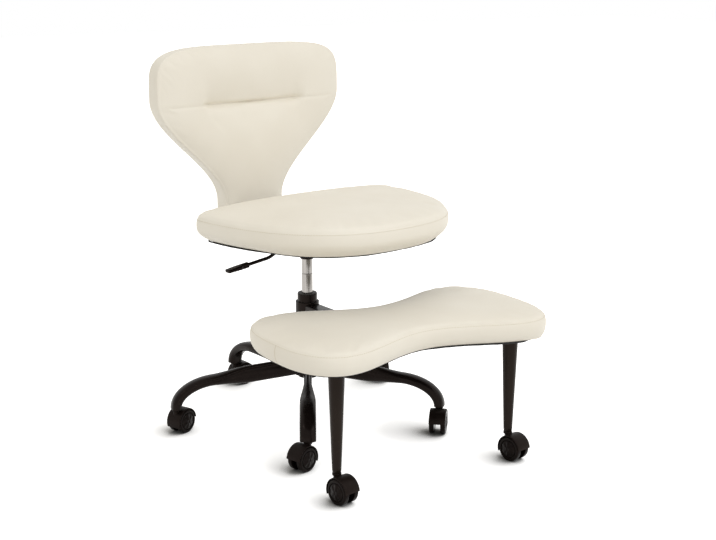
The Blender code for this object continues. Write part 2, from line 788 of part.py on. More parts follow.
def back_parts(seat):
    tilt = (-math.radians(back_lean), 0.0, 0.0)
    back = empty("back_frame", (0.0, back_reach, seat_height), seat, tilt)

    # Cushion: sections stacked up the back, flat behind, crowned in front, thinner at the ends and seam.
    face = -back_panel_thickness - fit_gap
    rings = []
    for height in back_heights():
        half = back_half(height)
        low = rounded_end(height - back_bottom)
        high = rounded_end(back_top - height)
        plump = (0.60 + 0.40 * low) * (0.60 + 0.40 * high)
        seam = math.exp(-((height - back_seam) / seam_width) ** 2)
        side = back_side * plump
        ring = [(-half * 0.985, 0.0), (-half, side * 0.25), (-half, side * 0.6)]
        for share in front_columns:
            crown = back_crown * (1 - abs(share) ** crown_squareness)
            pleat = pleat_depth * (1 - smooth_step(abs(share) / pleat_share - 0.5))
            depth = (back_side + crown) * plump - seam * (seam_depth + pleat)
            edge = 0.94 if abs(share) > 0.9 else 1.0
            ring.append((half * share, depth * edge))
        ring += [(half, side * 0.6), (half, side * 0.25), (half * 0.985, 0.0)]
        rings.append([Vector((x, face - depth, height)) for x, depth in ring])
    link("back_cushion", loft([rings]), cream_leather, back)

    # Upholstered rear panel, a little smaller all round.
    inside = [h for h in back_heights() if back_bottom + back_panel_inset < h < back_top - back_panel_inset]
    rings = []
    for height in inside:
        half = back_half(height) - back_panel_inset
        edge = back_panel_inset / 2
        ring = [(-half, -back_panel_thickness), (half, -back_panel_thickness)]
        ring += [(half, -edge), (half - edge, 0.0), (edge - half, 0.0), (-half, -edge)]
        rings.append([Vector((x, y, height)) for x, y in ring])
    link("back_panel", loft([rings]), cream_leather, back)

    # Flat bar: along the channel floor, round one bend, up the rear of the panel.
    lean = math.radians(back_lean)
    out = fit_gap + bar_thickness / 2
    way = Vector((0.0, math.sin(lean), math.cos(lean)))
    foot = Vector((0.0, back_reach + out * math.cos(lean), seat_height - out * math.sin(lean)))
    corner = foot + way * ((bar_middle - foot.z) / way.z)
    sweep = math.pi / 2 - lean
    reach = bar_bend_radius * math.tan(sweep / 2)
    path = [Vector((0.0, bar_start, bar_middle))]
    normals = [Vector((0.0, 0.0, 1.0))]
    centre = corner + Vector((0.0, -reach, bar_bend_radius))
    for i in range(bend_steps + 1):
        angle = sweep * i / bend_steps
        path.append(centre + bar_bend_radius * Vector((0.0, math.sin(angle), -math.cos(angle))))
        normals.append(Vector((0.0, -math.sin(angle), math.cos(angle))))
    path.append(foot + way * bar_top)
    normals.append(normals[-1])
    rings = []
    for point, normal in zip(path, normals):
        side = Vector((bar_width / 2, 0.0, 0.0))
        skin = normal * bar_thickness / 2
        rings.append([point - side - skin, point + side - skin, point + side + skin, point - side + skin])
    bar = link("back_bar", loft([rings]), black_paint, seat)
    rows = (bar_bolt_first, bar_bolt_first + bar_bolt_pitch)
    places = [(x, height) for height in rows for x in (-bar_bolt_out, bar_bolt_out)]
    bolt_heads(bar, places, -(fit_gap + bar_thickness), back, (math.pi / 2, 0.0, 0.0))


# Footrest


def rest_leg_places():
    return [("left", rest_leg_shift - rest_leg_out), ("right", rest_leg_shift + rest_leg_out)]


def flange_bolts():
    angles = [2 * math.pi * i / rest_bolts_each + math.pi / 2 for i in range(rest_bolts_each)]
    return [(rest_bolt_circle * math.cos(a), rest_bolt_circle * math.sin(a)) for a in angles]


def arm_rings(inset):
    # The square tube's skin: cut to the sleeve's round at the low rear end, up to the bend, then level.
    half = arm_width / 2 - inset
    saddle = sleeve_radius + weld_gap
    xs = [half * (2 * i / bend_steps - 1) for i in range(bend_steps + 1)]
    rows = [(x, arm_top - inset) for x in xs] + [(x, arm_under + inset) for x in reversed(xs)]
    rear = [Vector((x, -math.sqrt(saddle * saddle - x * x), z - arm_drop)) for x, z in rows]
    bend, front = [[Vector((x, -y, z)) for x, z in rows] for y in (arm_bend, arm_end)]
    return [rear, bend, front]


def footrest():
    rest = empty("footrest_axis", (0.0, 0.0, 0.0), column)
    outline = rest_outline()
    middle = Vector((0.0, -rest_middle))

    def inner(distance):
        return moved_in(outline, distance)

    pocket = rest_board_thickness + fit_gap
    cushion = cushion_mesh(inner, middle, rest_height, rest_boxing, rest_crown, rest_tuck, pocket)
    link("footrest_cushion", cushion, cream_leather, rest)

    board = flat_sheet(inner(rest_tuck + board_margin), rest_height, rest_board_thickness)
    link("footrest_board", board, plywood, rest)
    cover = flat_sheet(inner(rest_tuck + cover_margin), arm_top + fit_gap, cover_thickness)
    link("footrest_dust_cover", cover, black_cloth, rest)

    # Sleeve and liner on the column, and the square tube that carries the footrest.
    sleeve = [(sleeve_bore, sleeve_bottom), (sleeve_radius, sleeve_bottom), (sleeve_radius, arm_top)]
    sleeve += [(sleeve_bore, arm_top)]
    link("footrest_sleeve", turned_ring(sleeve, column_segments), black_paint, rest)
    liner = [(liner_bore, sleeve_bottom), (liner_radius, sleeve_bottom)]
    liner += [(liner_radius, arm_top), (liner_bore, arm_top)]
    link("footrest_liner", turned_ring(liner, column_segments), grey_plastic, rest)

    rings = arm_rings(0.0) + arm_rings(arm_wall)[::-1]
    arm = link("footrest_arm", loft([rings], closed=True), black_paint, rest)
    bolt_heads(arm, [(0.0, -y) for y in arm_bolts], arm_under)

    # Tapered legs, each turned with the plate that is screwed under the board.
    for side, out in rest_leg_places():
        profile = [(stem_bore, stem_bore_top), (stem_bore, leg_end_height)]
        profile += [(rest_leg_end_radius - rest_leg_tip / 3, leg_end_height)]
        profile += [(rest_leg_end_radius, leg_end_height + rest_leg_tip)]
        profile += [(rest_leg_top_radius, rest_flange_under)]
        profile += [(rest_flange_radius, rest_flange_under), (rest_flange_radius, arm_top)]
        spot = (out, -rest_leg_ahead, 0.0)
        leg = link("footrest_leg_" + side, turned(profile, leg_segments), black_paint, rest, spot)
        bolt_heads(leg, flange_bolts(), rest_flange_under)
        caster("footrest_caster_" + side, (out, -rest_leg_ahead), rest_caster_turn)


base()
column_parts()
lift_parts()
seat_frame = empty("seat_axis", (0.0, 0.0, 0.0), column, (0.0, 0.0, math.radians(seat_turn)))
seat_parts(seat_frame)
mechanism(seat_frame)
lever(seat_frame)
back_parts(seat_frame)
footrest()
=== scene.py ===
import math

import bpy
import numpy as np
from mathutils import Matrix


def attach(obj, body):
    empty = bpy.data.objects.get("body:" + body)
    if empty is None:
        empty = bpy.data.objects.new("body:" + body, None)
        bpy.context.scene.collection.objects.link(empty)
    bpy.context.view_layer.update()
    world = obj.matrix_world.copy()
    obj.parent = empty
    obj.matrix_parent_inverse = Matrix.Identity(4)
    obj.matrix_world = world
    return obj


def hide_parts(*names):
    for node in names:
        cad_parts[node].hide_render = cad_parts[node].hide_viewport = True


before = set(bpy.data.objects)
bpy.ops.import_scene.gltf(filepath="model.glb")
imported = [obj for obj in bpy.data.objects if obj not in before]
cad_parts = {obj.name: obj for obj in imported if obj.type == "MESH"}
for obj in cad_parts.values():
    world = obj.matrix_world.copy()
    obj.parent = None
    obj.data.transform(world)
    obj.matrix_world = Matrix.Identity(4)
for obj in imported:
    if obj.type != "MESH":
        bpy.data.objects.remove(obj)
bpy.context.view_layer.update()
scene = bpy.context.scene

# places that several pieces share
columnY = 0.1122  # the column stands this far behind the origin
seatTurn = 8.0  # degrees the seat is swivelled from straight ahead
starRadius, starTurn, starStep = 0.346, 23.0, 72  # ends of the five legs
restLegX = {"left": -0.225, "right": 0.255}
restLegAhead = 0.497  # from the column
footHeight = 0.0658  # where a leg ends and its caster begins

# camera and studio

view = {"place": (-1.6909, -2.7275, 1.1848), "pitch": 76.5, "heading": -33.0, "lens": 67.7, "film": 36.0}
dome = {"strength": 0.745, "colour": (1.0, 0.970, 0.905), "background": 1.0}
lampColour = (0.97, 0.995, 1.05)
# strength, width in degrees and turn of each sun
lamps = {"sun": (0.55, 46.0, (35.0, 0.0, 30.0)), "front": (0.30, 50.0, (70.0, 0.0, 8.0)),
         "glintLeft": (0.13, 4.0, (42.0, 0.0, -80.0)), "glintRight": (0.10, 4.0, (55.0, 0.0, 25.0))}
# contact, contactFrom and contactRange set the painted contact shadow on the floor: its reach, its side and its range
floorLook = {"size": 30.0, "colour": (0.86, 0.86, 0.86), "glow": 0.80, "contact": 0.15,
             "contactFrom": (0.545, -0.354, 0.76), "contactRange": (0.50, 0.97), "samples": 16}


def addNode(tree, kind, values=(), links=(), **settings):
    # a shader node with its settings, then its fixed values and its feeds by socket
    made = tree.nodes.new("ShaderNode" + kind)
    for name, value in settings.items():
        setattr(made, name, value)
    for socket, value in dict(values).items():
        made.inputs[socket].default_value = value
    for socket, source in dict(links).items():
        tree.links.new(source, made.inputs[socket])
    return made


def put(name, data):
    # an object of this data in the scene
    made = bpy.data.objects.new(name, data)
    scene.collection.objects.link(made)
    return made


def aimCamera():
    data = bpy.data.cameras.new("photoCamera")
    data.sensor_width = view["film"]
    data.lens = view["lens"]
    scene.camera = put("photoCamera", data)
    scene.camera.location = view["place"]
    scene.camera.rotation_euler = (math.radians(view["pitch"]), 0.0, math.radians(view["heading"]))


def seenRay(tree):
    # 1 for rays from the camera, mirrors or glass, 0 for the rays that light the object
    rays = addNode(tree, "LightPath").outputs
    first = addNode(tree, "Math", links={0: rays["Is Camera Ray"], 1: rays["Is Glossy Ray"]}, operation="MAXIMUM")
    both = addNode(tree, "Math", links={0: first.outputs[0], 1: rays["Is Transmission Ray"]}, operation="MAXIMUM")
    return both.outputs[0]


def lightStudio():
    # a warm dome and four suns light the object; a white dome is only seen
    world = bpy.data.worlds.new("softStudio")
    scene.world = world
    world.use_nodes = True
    tree = world.node_tree
    lit = tree.nodes["Background"]
    lit.inputs["Color"].default_value = (*dome["colour"], 1.0)
    lit.inputs["Strength"].default_value = dome["strength"]
    seen = addNode(tree, "Background", {"Color": (1.0, 1.0, 1.0, 1.0), "Strength": dome["background"]})
    mix = addNode(tree, "MixShader", links={0: seenRay(tree), 1: lit.outputs[0], 2: seen.outputs[0]})
    tree.links.new(mix.outputs[0], tree.nodes["World Output"].inputs["Surface"])
    for name, (energy, angle, turn) in lamps.items():
        lamp = bpy.data.lights.new(name, "SUN")
        lamp.energy = energy
        lamp.color = lampColour
        lamp.angle = math.radians(angle)
        put(name, lamp).rotation_euler = [math.radians(a) for a in turn]


def layFloor():
    # a matt square that glows for seen rays; its colour and its seen glow fade where a wheel stands near it on the
    # sunny
    # side: a painted contact shadow on the floor, under which the real contact shadow shows
    s = floorLook
    half = s["size"] / 2
    mesh = bpy.data.meshes.new("floor")
    mesh.from_pydata([(-half, -half, 0), (half, -half, 0), (half, half, 0), (-half, half, 0)], [], [(0, 1, 2, 3)])
    floor = put("floor", mesh)
    paint = bpy.data.materials.new("paleFloor")
    paint.use_nodes = True
    tree = paint.node_tree
    matt = tree.nodes["Principled BSDF"]
    matt.inputs["Roughness"].default_value = 1.0
    matt.inputs["Specular IOR Level"].default_value = 0.0
    sunny = addNode(tree, "CombineXYZ", dict(enumerate(s["contactFrom"])))
    close = addNode(tree, "AmbientOcclusion", {"Color": (*s["colour"], 1.0), "Distance": s["contact"]},
                    {"Normal": sunny.outputs[0]}, samples=s["samples"])
    # painted shadow: the floor's colour is darkened by the occlusion near the wheels
    tree.links.new(close.outputs["Color"], matt.inputs["Base Color"])
    low, high = s["contactRange"]
    wide = addNode(tree, "MapRange", {"From Min": low, "From Max": high, "To Min": 0.0, "To Max": s["glow"]},
                   {"Value": close.outputs["AO"]})
    level = addNode(tree, "Math", links={0: seenRay(tree), 1: wide.outputs[0]}, operation="MULTIPLY")
    glow = addNode(tree, "Emission", links={"Strength": level.outputs[0]})
    both = addNode(tree, "AddShader", links={0: matt.outputs[0], 1: glow.outputs[0]})
    tree.links.new(both.outputs[0], tree.nodes["Material Output"].inputs["Surface"])
    mesh.materials.append(paint)


scene.view_settings.view_transform = "Standard"
aimCamera()
lightStudio()
layFloor()
print("studio: camera, lamps and floor")

# finishes

brownGloss = (1.0, 0.80, 0.72, 1.0)  # warm cast of the black pieces' shine


class Finish:
    # one material with its shader, and short calls for the nodes that feed it
    def __init__(self, name, colour, roughness, metallic=0.0):
        self.material = bpy.data.materials.new(name)
        self.material.use_nodes = True
        self.tree = self.material.node_tree
        self.shader = self.tree.nodes["Principled BSDF"]
        self.fix({"Base Color": (*colour, 1.0), "Roughness": roughness, "Metallic": metallic})
        self.coords = addNode(self.tree, "TexCoord").outputs["Object"]

    def fix(self, values):
        for socket, value in values.items():
            self.shader.inputs[socket].default_value = value

    def feed(self, socket, source):
        self.tree.links.new(source, self.shader.inputs[socket])

    def stretched(self, scale):
        return addNode(self.tree, "Mapping", {"Scale": scale}, {"Vector": self.coords}).outputs[0]

    def noise(self, scale, detail=3.0, source=None):
        return addNode(self.tree, "TexNoise", {"Scale": scale, "Detail": detail},
                       {"Vector": source or self.coords}).outputs["Fac"]

    def cells(self, scale, feature="F1"):
        return addNode(self.tree, "TexVoronoi", {"Scale": scale}, {"Vector": self.coords},
                       feature=feature).outputs["Distance"]

    def spread(self, value, low, high, fromLow=0.3, fromHigh=0.7):
        ends = {"From Min": fromLow, "From Max": fromHigh, "To Min": low, "To Max": high}
        return addNode(self.tree, "MapRange", ends, {"Value": value}).outputs[0]

    def sum(self, first, second, share):
        return addNode(self.tree, "Math", {1: share}, {0: second, 2: first}, operation="MULTIPLY_ADD").outputs[0]

    def tint(self, value, first, second, fromLow=0.3, fromHigh=0.7):
        share = self.spread(value, 0.0, 1.0, fromLow, fromHigh)
        colours = {"A": (*first, 1.0), "B": (*second, 1.0)}
        mix = addNode(self.tree, "Mix", colours, {"Factor": share}, data_type="RGBA")
        self.feed("Base Color", mix.outputs["Result"])

    def rough(self, value, low, high):
        self.feed("Roughness", self.spread(value, low, high))

    def bump(self, value, distance, strength):
        node = addNode(self.tree, "Bump", {"Strength": strength, "Distance": distance}, {"Height": value})
        self.feed("Normal", node.outputs[0])


def leatherFinish():
    # coated leather: pebbled grain of about 1.5 mm, faint clouding of colour and gloss
    look = Finish("creamLeather", (0.82, 0.78, 0.69), 0.52)
    look.tint(look.noise(5.0, 4.0), (0.845, 0.805, 0.715), (0.80, 0.755, 0.66))
    look.rough(look.noise(18.0), 0.46, 0.60)
    look.bump(look.sum(look.cells(620.0, "SMOOTH_F1"), look.noise(1500.0, 2.0), 0.35), 0.0005, 0.30)
    look.fix({"Specular IOR Level": 0.38})
    return look.material


def threadFinish():
    # waxed thread: twisted fibres too fine to see apart
    look = Finish("creamThread", (0.66, 0.60, 0.48), 0.7)
    look.bump(look.noise(2600.0, 1.0), 0.0002, 0.4)
    look.rough(look.noise(300.0), 0.6, 0.8)
    return look.material


def coatFinish(name, colour, second, roughness):
    # sprayed black: orange-peel waviness, gloss that drifts a little
    look = Finish(name, colour, roughness)
    look.tint(look.noise(14.0, 4.0), colour, second)
    look.rough(look.noise(26.0), roughness - 0.05, roughness + 0.07)
    look.bump(look.sum(look.noise(420.0, 2.0), look.noise(60.0, 2.0), 1.5), 0.00012, 0.22)
    look.fix({"Specular IOR Level": 0.12, "Specular Tint": brownGloss})
    return look.material


def mouldedFinish(name, colour, second, roughness, gloss=0.09):
    # spark-eroded plastic: fine pits, slightly browner where it has faded
    look = Finish(name, colour, roughness)
    look.tint(look.noise(35.0, 4.0), colour, second)
    look.rough(look.noise(90.0), roughness - 0.06, roughness + 0.08)
    look.bump(look.sum(look.cells(1500.0), look.noise(500.0, 2.0), 0.5), 0.00015, 0.30)
    look.fix({"Specular IOR Level": gloss, "Specular Tint": brownGloss})
    return look.material


def chromedFinish():
    # bright ground tube: hair-fine upright grinding marks in gloss and surface, and painted reflection streaks in
    # colour
    look = Finish("groundChrome", (0.32, 0.305, 0.29), 0.22, 1.0)
    grindingAndReflectionLines = look.noise(60.0, 3.0, look.stretched((8.0, 8.0, 0.12)))
    # painted reflection: lighter and darker upright streaks in the metal's colour
    look.tint(grindingAndReflectionLines, (0.24, 0.228, 0.218), (0.40, 0.382, 0.366))
    look.rough(grindingAndReflectionLines, 0.16, 0.30)
    look.bump(grindingAndReflectionLines, 0.00008, 0.25)
    look.fix({"Anisotropic": 0.4})
    return look.material


def zincFinish():
    # plated steel: small cloudy crystals
    look = Finish("zincSteel", (0.48, 0.48, 0.47), 0.36, 1.0)
    look.tint(look.cells(160.0), (0.42, 0.42, 0.42), (0.56, 0.56, 0.54), 0.0, 0.8)
    look.rough(look.noise(70.0), 0.28, 0.45)
    return look.material


def dustClothFinish():
    # bonded black fibre cloth
    look = Finish("dustCloth", (0.012, 0.012, 0.013), 0.92)
    fibres = look.sum(look.noise(900.0, 4.0), look.noise(240.0, 2.0), 0.6)
    look.tint(fibres, (0.008, 0.008, 0.009), (0.024, 0.023, 0.023), 0.5, 1.1)
    look.bump(fibres, 0.0004, 0.5)
    return look.material


def plyFinish():
    # bare plywood: grain drawn out along the width
    look = Finish("plywood", (0.55, 0.38, 0.22), 0.7)
    grain = look.noise(22.0, 5.0, look.stretched((0.6, 8.0, 8.0)))
    look.tint(grain, (0.62, 0.45, 0.28), (0.46, 0.30, 0.16))
    look.bump(grain, 0.0004, 0.3)
    return look.material


leather = leatherFinish()
thread = threadFinish()
blackCoat = coatFinish("blackCoat", (0.0065, 0.0045, 0.0040), (0.0085, 0.0060, 0.0052), 0.24)
legCoat = coatFinish("satinLegCoat", (0.0105, 0.0075, 0.0058), (0.0140, 0.0105, 0.0080), 0.25)
hoodPlastic = mouldedFinish("hoodPlastic", (0.0080, 0.0052, 0.0044), (0.0110, 0.0078, 0.0066), 0.36)
wheelPlastic = mouldedFinish("wheelPlastic", (0.0042, 0.0030, 0.0026), (0.0062, 0.0044, 0.0038), 0.15, 0.075)
greyNylon = mouldedFinish("greyNylon", (0.055, 0.053, 0.052), (0.075, 0.072, 0.070), 0.45)
chromed = chromedFinish()
zinc = zincFinish()
dustCloth = dustClothFinish()
plywood = plyFinish()
print("finishes: 11")

# shapes

noTris = np.zeros((0, 3), int)
xWay, yWay, zWay = np.eye(3)


def unit(ways):
    # every row brought to length one
    return ways / np.linalg.norm(ways, axis=1, keepdims=True)


def rounded(corners, radius, steps=6, closed=False):
    # each corner of a path becomes a parabola that leaves both legs this far from the corner
    corners = np.asarray(corners, float)
    before = np.roll(corners, 1, 0) - corners
    after = np.roll(corners, -1, 0) - corners
    reach = np.broadcast_to(np.asarray(radius, float), (len(corners),))[:, None]
    start, end = corners + unit(before) * reach, corners + unit(after) * reach
    t = np.linspace(0.0, 1.0, steps + 1)[None, :, None]
    arcs = start[:, None] * (1 - t) ** 2 + 2 * t * (1 - t) * corners[:, None] + end[:, None] * t ** 2
    if closed:
        return arcs.reshape(-1, corners.shape[1])
    return np.vstack([corners[:1], arcs[1:-1].reshape(-1, corners.shape[1]), corners[-1:]])


def ringQuads(rows, cols, wrapRows):
    # four corners of every cell in a grid whose columns run round
    i = np.arange(rows if wrapRows else rows - 1)[:, None]
    j = np.arange(cols)[None, :]
    up, side = (i + 1) % rows, (j + 1) % cols
    return np.stack([i * cols + j, i * cols + side, up * cols + side, up * cols + j], -1).reshape(-1, 4)


def facingOut(points, quads, tris):
    # a closed shell has a positive volume when its faces point out
    faces = np.vstack([quads[:, [0, 1, 2]], quads[:, [0, 2, 3]], tris])
    a, b, c = points[faces[:, 0]], points[faces[:, 1]], points[faces[:, 2]]
    if np.einsum("ij,ij->i", a - points.mean(0), np.cross(b - a, c - a)).sum() < 0:
        quads, tris = quads[:, ::-1], tris[:, ::-1]
    return points, quads, tris


def skin(rings, loop=False):
    # rings of points joined in order; the ends close on their middles, or the last ring meets the first
    rows, cols = rings.shape[:2]
    points = rings.reshape(-1, 3)
    quads = ringQuads(rows, cols, loop)
    if loop:
        return facingOut(points, quads, noTris)
    j = np.arange(cols)
    last = (rows - 1) * cols
    low = np.stack([np.full(cols, rows * cols), (j + 1) % cols, j], -1)
    high = np.stack([np.full(cols, rows * cols + 1), last + j, last + (j + 1) % cols], -1)
    points = np.vstack([points, rings[0].mean(0), rings[-1].mean(0)])
    return facingOut(points, quads, np.vstack([low, high]))


def turns(count):
    # equal turns, once round
    return np.linspace(0.0, 2 * np.pi, count, endpoint=False)


def turned(profile, segments, loop=False):
    # a profile of radius and height carried round the upright axis
    a = turns(segments)[None, :]
    r, z = profile[:, :1], profile[:, 1:2]
    rings = np.stack([r * np.cos(a), r * np.sin(a), np.broadcast_to(z, (len(profile), segments))], -1)
    return skin(rings, loop)


def carried(path, across, up, section, scale=None):
    # a section in two directions carried along a path; scale gives both half sizes at each step
    size = np.ones((len(path), 2)) if scale is None else scale
    across, up = (np.broadcast_to(way, path.shape)[:, None] for way in (across, up))
    u = section[None, :, :1] * size[:, None, :1]
    v = section[None, :, 1:] * size[:, None, 1:]
    return path[:, None] + u * across + v * up


def directions(path):
    # the way a path runs at each of its points
    return unit(np.gradient(path, axis=0))


def quarterUp(along):
    # directions in the upright plane through x, turned a quarter upwards
    return np.stack([-along[:, 2], np.zeros(len(along)), along[:, 0]], -1)


def lengths(line):
    # how far along its own length each point of a line lies
    return np.concatenate([[0.0], np.cumsum(np.linalg.norm(np.diff(line, axis=0), axis=1))])


def moved(shell, turn=0.0, place=(0.0, 0.0, 0.0)):
    # turned about the upright axis, then shifted
    points, quads, tris = shell
    c, s = math.cos(math.radians(turn)), math.sin(math.radians(turn))
    spun = points @ np.array([[c, s, 0.0], [-s, c, 0.0], [0.0, 0.0, 1.0]])
    return spun + np.asarray(place), quads, tris


def atColumn(shell, turn=0.0):
    # from the column's own axis to its place, turned about it
    return moved(shell, turn, (0.0, columnY, 0.0))


def upsideDown(shell):
    # half a turn about the x axis
    points, quads, tris = shell
    return points * (1, -1, -1), quads, tris


def together(shells):
    # several shells as one
    points, quads, tris, count = [], [], [], 0
    for p, q, t in shells:
        points.append(p)
        quads.append(q + count)
        tris.append(t + count)
        count += len(p)
    return np.vstack(points), np.vstack(quads), np.vstack(tris)


def piece(name, shell, material, body, nodes=(), sharp=42.0):
    # a shell as an object that rides on a body; edges over the sharp angle stay crisp
    points, quads, tris = shell
    mesh = bpy.data.meshes.new(name)
    mesh.from_pydata(points.tolist(), [], quads.tolist() + tris.tolist())
    mesh.shade_smooth()
    if sharp:
        mesh.set_sharp_from_angle(angle=math.radians(sharp))
    mesh.materials.append(material)
    made = put(name, mesh)
    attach(made, body)
    if nodes:
        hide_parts(*nodes)
    return made


def circle(count, radius=1.0):
    # points at equal turns
    a = turns(count)
    return radius * np.stack([np.cos(a), np.sin(a)], -1)


def powered(value, power):
    # a power that keeps the sign
    return np.sign(value) * np.abs(value) ** power


def oval(count, squareness):
    # superellipse of half size one
    return powered(circle(count), squareness)


def box(halfWidth, halfHeight, edge, steps):
    # a rectangle with rounded corners
    w, h = halfWidth, halfHeight
    return rounded([(-w, -h), (w, -h), (w, h), (-w, h)], edge, steps, True)


def softStep(share):
    # from 0 to 1, level at both ends
    share = np.clip(share, 0.0, 1.0)
    return share * share * (3 - 2 * share)


def hump(distance, width):
    # bell curve of height one
    return np.exp(-(distance / width) ** 2)


def ripple(points, waveLength, seed, waves=6, paces=(0.7, 1.4)):
    # the mean of a few plane waves with fixed directions, paces and phases, from -1 to 1
    rng = np.random.default_rng(seed)
    ways = unit(rng.normal(size=(waves, points.shape[1])))
    pace = 2 * np.pi / waveLength * rng.uniform(*paces, waves)
    return np.sin(points @ (ways * pace[:, None]).T + rng.uniform(0, 2 * np.pi, waves)).mean(1)


boltSize = {"washer": 0.0012, "washerEdge": 0.0003, "sunk": 0.0008, "chamfer": 0.0008, "topShare": 0.86}


def hexHead(radius, height, washer):
    # profiles of a washer and of a chamfered head, the head turned in six steps, standing up from zero
    b = boltSize
    thick, edge = b["washer"], b["washerEdge"]
    plate = rounded([(0.0, 0.0), (washer, 0.0), (washer, thick), (0.0, thick)], (0, edge, edge, 0), 3)
    head = np.array([(0.0, b["sunk"]), (radius, b["sunk"]), (radius, height - b["chamfer"]),
                     (radius * b["topShare"], height), (0.0, height)])
    return together([turned(plate, 24), turned(head, 6)])


# casters

casterTurns = (68.0, 4.0, 24.0, -163.0, -133.0)
restCasterTurn = -80.0
wheelSize = {"radius": 0.02954, "width": 0.0125, "face": 0.0081, "bore": 0.0046, "boreDepth": 0.004, "cap": 0.0196,
             "groove": ((0.0030, 0.0), (0.0022, 0.0024), (0.0010, 0.0024), (0.0002, 0.0004)),
             "edges": (0, 0.0004, 0.0016, 0.0042, 0.0004, 0.0004, 0.0004, 0), "capSunk": 0.0003, "capDome": 0.0036,
             "scallops": 6, "scallopDepth": 0.0010, "scallopFrom": (0.0060, 0.002), "scallopTo": (0.0012, 0.0015),
             "scallopFlank": 1.2, "pin": (0.0034, 0.0006), "pinDepth": 0.0009, "outerShare": 0.9}
hoodSize = {"trail": 0.020, "arc": (6.0, 200.0), "steps": 45, "halfWidth": 0.0206, "inner": 0.0310, "outer": 0.0332,
            "crown": 0.0007, "crownShare": 0.55, "edges": (0.0007, 0.0007, 0.0014, 0.007, 0.007, 0.0014),
            "web": 0.0075, "webFrom": 0.002, "webInto": 0.0005, "webEdge": 0.0006, "boss": 0.0075, "bossFoot": 0.034,
            "collar": 0.0105, "collarFrom": (0.0585, 0.0605), "height": 0.0655,
            "bossEdges": (0, 0.001, 0.0012, 0.0008, 0.0010, 0), "axle": 0.0043, "axleInto": 0.0034}


def placeCasters():
    # name, place and turn of each: five at the star's ends, two under the footrest's legs
    places = []
    for i, turn in enumerate(casterTurns):
        a = math.radians(starTurn + starStep * i)
        places.append((f"base_caster_{i + 1}", starRadius * math.cos(a), columnY + starRadius * math.sin(a), turn))
    return places + [(f"footrest_caster_{side}", x, columnY - restLegAhead, restCasterTurn)
                     for side, x in restLegX.items()]


casterPlaces = placeCasters()


def wheelShell(side):
    # radius and width of tyre, groove and domed cap carried round the axle; scallops and a pin's end sink in
    s = wheelSize
    r, w, cap = s["radius"], s["width"], s["cap"]
    groove = [(cap + out, w - down) for out, down in s["groove"]]
    tyre = rounded([(s["bore"], s["boreDepth"]), (s["bore"], 0.0), (r, 0.0), (r, w), *groove], s["edges"], 5)
    capRadius = np.linspace(cap, 0.0, 16)
    capOut = w - s["capSunk"] + s["capDome"] * (1 - (capRadius / cap) ** 2)
    profile = np.vstack([tyre, np.stack([capRadius, capOut], -1)])
    a = turns(72)[None, :]
    radius, width = profile[:, :1], profile[:, 1:2]
    (first, firstRun), (margin, lastRun), (pin, pinRun) = s["scallopFrom"], s["scallopTo"], s["pin"]
    outerFace = width > w * s["outerShare"]
    ring = softStep((radius - first) / firstRun) * softStep((cap - margin - radius) / lastRun) * outerFace
    sink = s["scallopDepth"] * ring * softStep(0.5 + s["scallopFlank"] * np.cos(s["scallops"] * a))
    hole = s["pinDepth"] * softStep((pin - radius) / pinRun)
    out = side * (s["face"] + width - sink - hole)
    return skin(np.stack([hoodSize["trail"] + radius * np.cos(a), out, r + radius * np.sin(a)], -1))


def hoodShell():
    # a curved roof and a web carried round the axle's line, a collared boss for the stem, and the axle itself
    s = hoodSize
    a = np.radians(np.linspace(*s["arc"], s["steps"]))
    centre = np.array([s["trail"], 0.0, wheelSize["radius"]])
    line = np.broadcast_to(centre, (len(a), 3))
    out = np.stack([np.cos(a), np.zeros(len(a)), np.sin(a)], -1)
    h, low, high = s["halfWidth"], s["inner"], s["outer"]
    crownHalf, crown = h * s["crownShare"], high + s["crown"]
    roof = rounded([(-h, low), (h, low), (h, high), (crownHalf, crown), (-crownHalf, crown), (-h, high)],
                   s["edges"], 4, True)
    w, webLow, webHigh = s["web"], s["webFrom"], low + s["webInto"]
    web = rounded([(-w, webLow), (w, webLow), (w, webHigh), (-w, webHigh)], s["webEdge"], 3, True)
    (slope, collarLow), top = s["collarFrom"], s["height"]
    boss = rounded([(0.0, s["bossFoot"]), (s["boss"], s["bossFoot"]), (s["boss"], slope), (s["collar"], collarLow),
                    (s["collar"], top), (0.0, top)], s["bossEdges"], 5)
    end = (wheelSize["face"] + s["axleInto"]) * yWay
    axle = carried(np.array([centre - end, centre + end]), xWay, zWay, circle(20, s["axle"]))
    return together([skin(carried(line, yWay, out, roof)), skin(carried(line, yWay, out, web)),
                     turned(boss, 40), skin(axle)])


def makeCasters():
    hood = hoodShell()
    wheels = {"a": wheelShell(1), "b": wheelShell(-1)}
    for name, x, y, turn in casterPlaces:
        piece(name + ".cover", moved(hood, turn, (x, y, 0)), hoodPlastic, name, [name + "_hood"])
        for side in "ab":
            node = f"{name}_wheel_{side}"
            piece(node + ".turned", moved(wheels[side], turn, (x, y, 0)), wheelPlastic, node, [node])


makeCasters()
print("casters:", len(casterPlaces))

# base and column

legSize = {"hub": 0.0296, "rootHeight": 0.1425, "kneeHeight": 0.130, "bend": 0.105, "root": (0.021, 0.045),
           "tip": (0.039, 0.026), "press": (0.150, 0.260), "squareness": 0.8, "overlap": 0.0006,
           "lip": ((0.0006, -0.0001), (0.0022, 0.0), (0.0026, 0.0008), (0.0060, 0.0008)),
           "weldOut": 0.0010, "bead": 0.0020, "lump": 0.15, "lumpPace": 2.1}


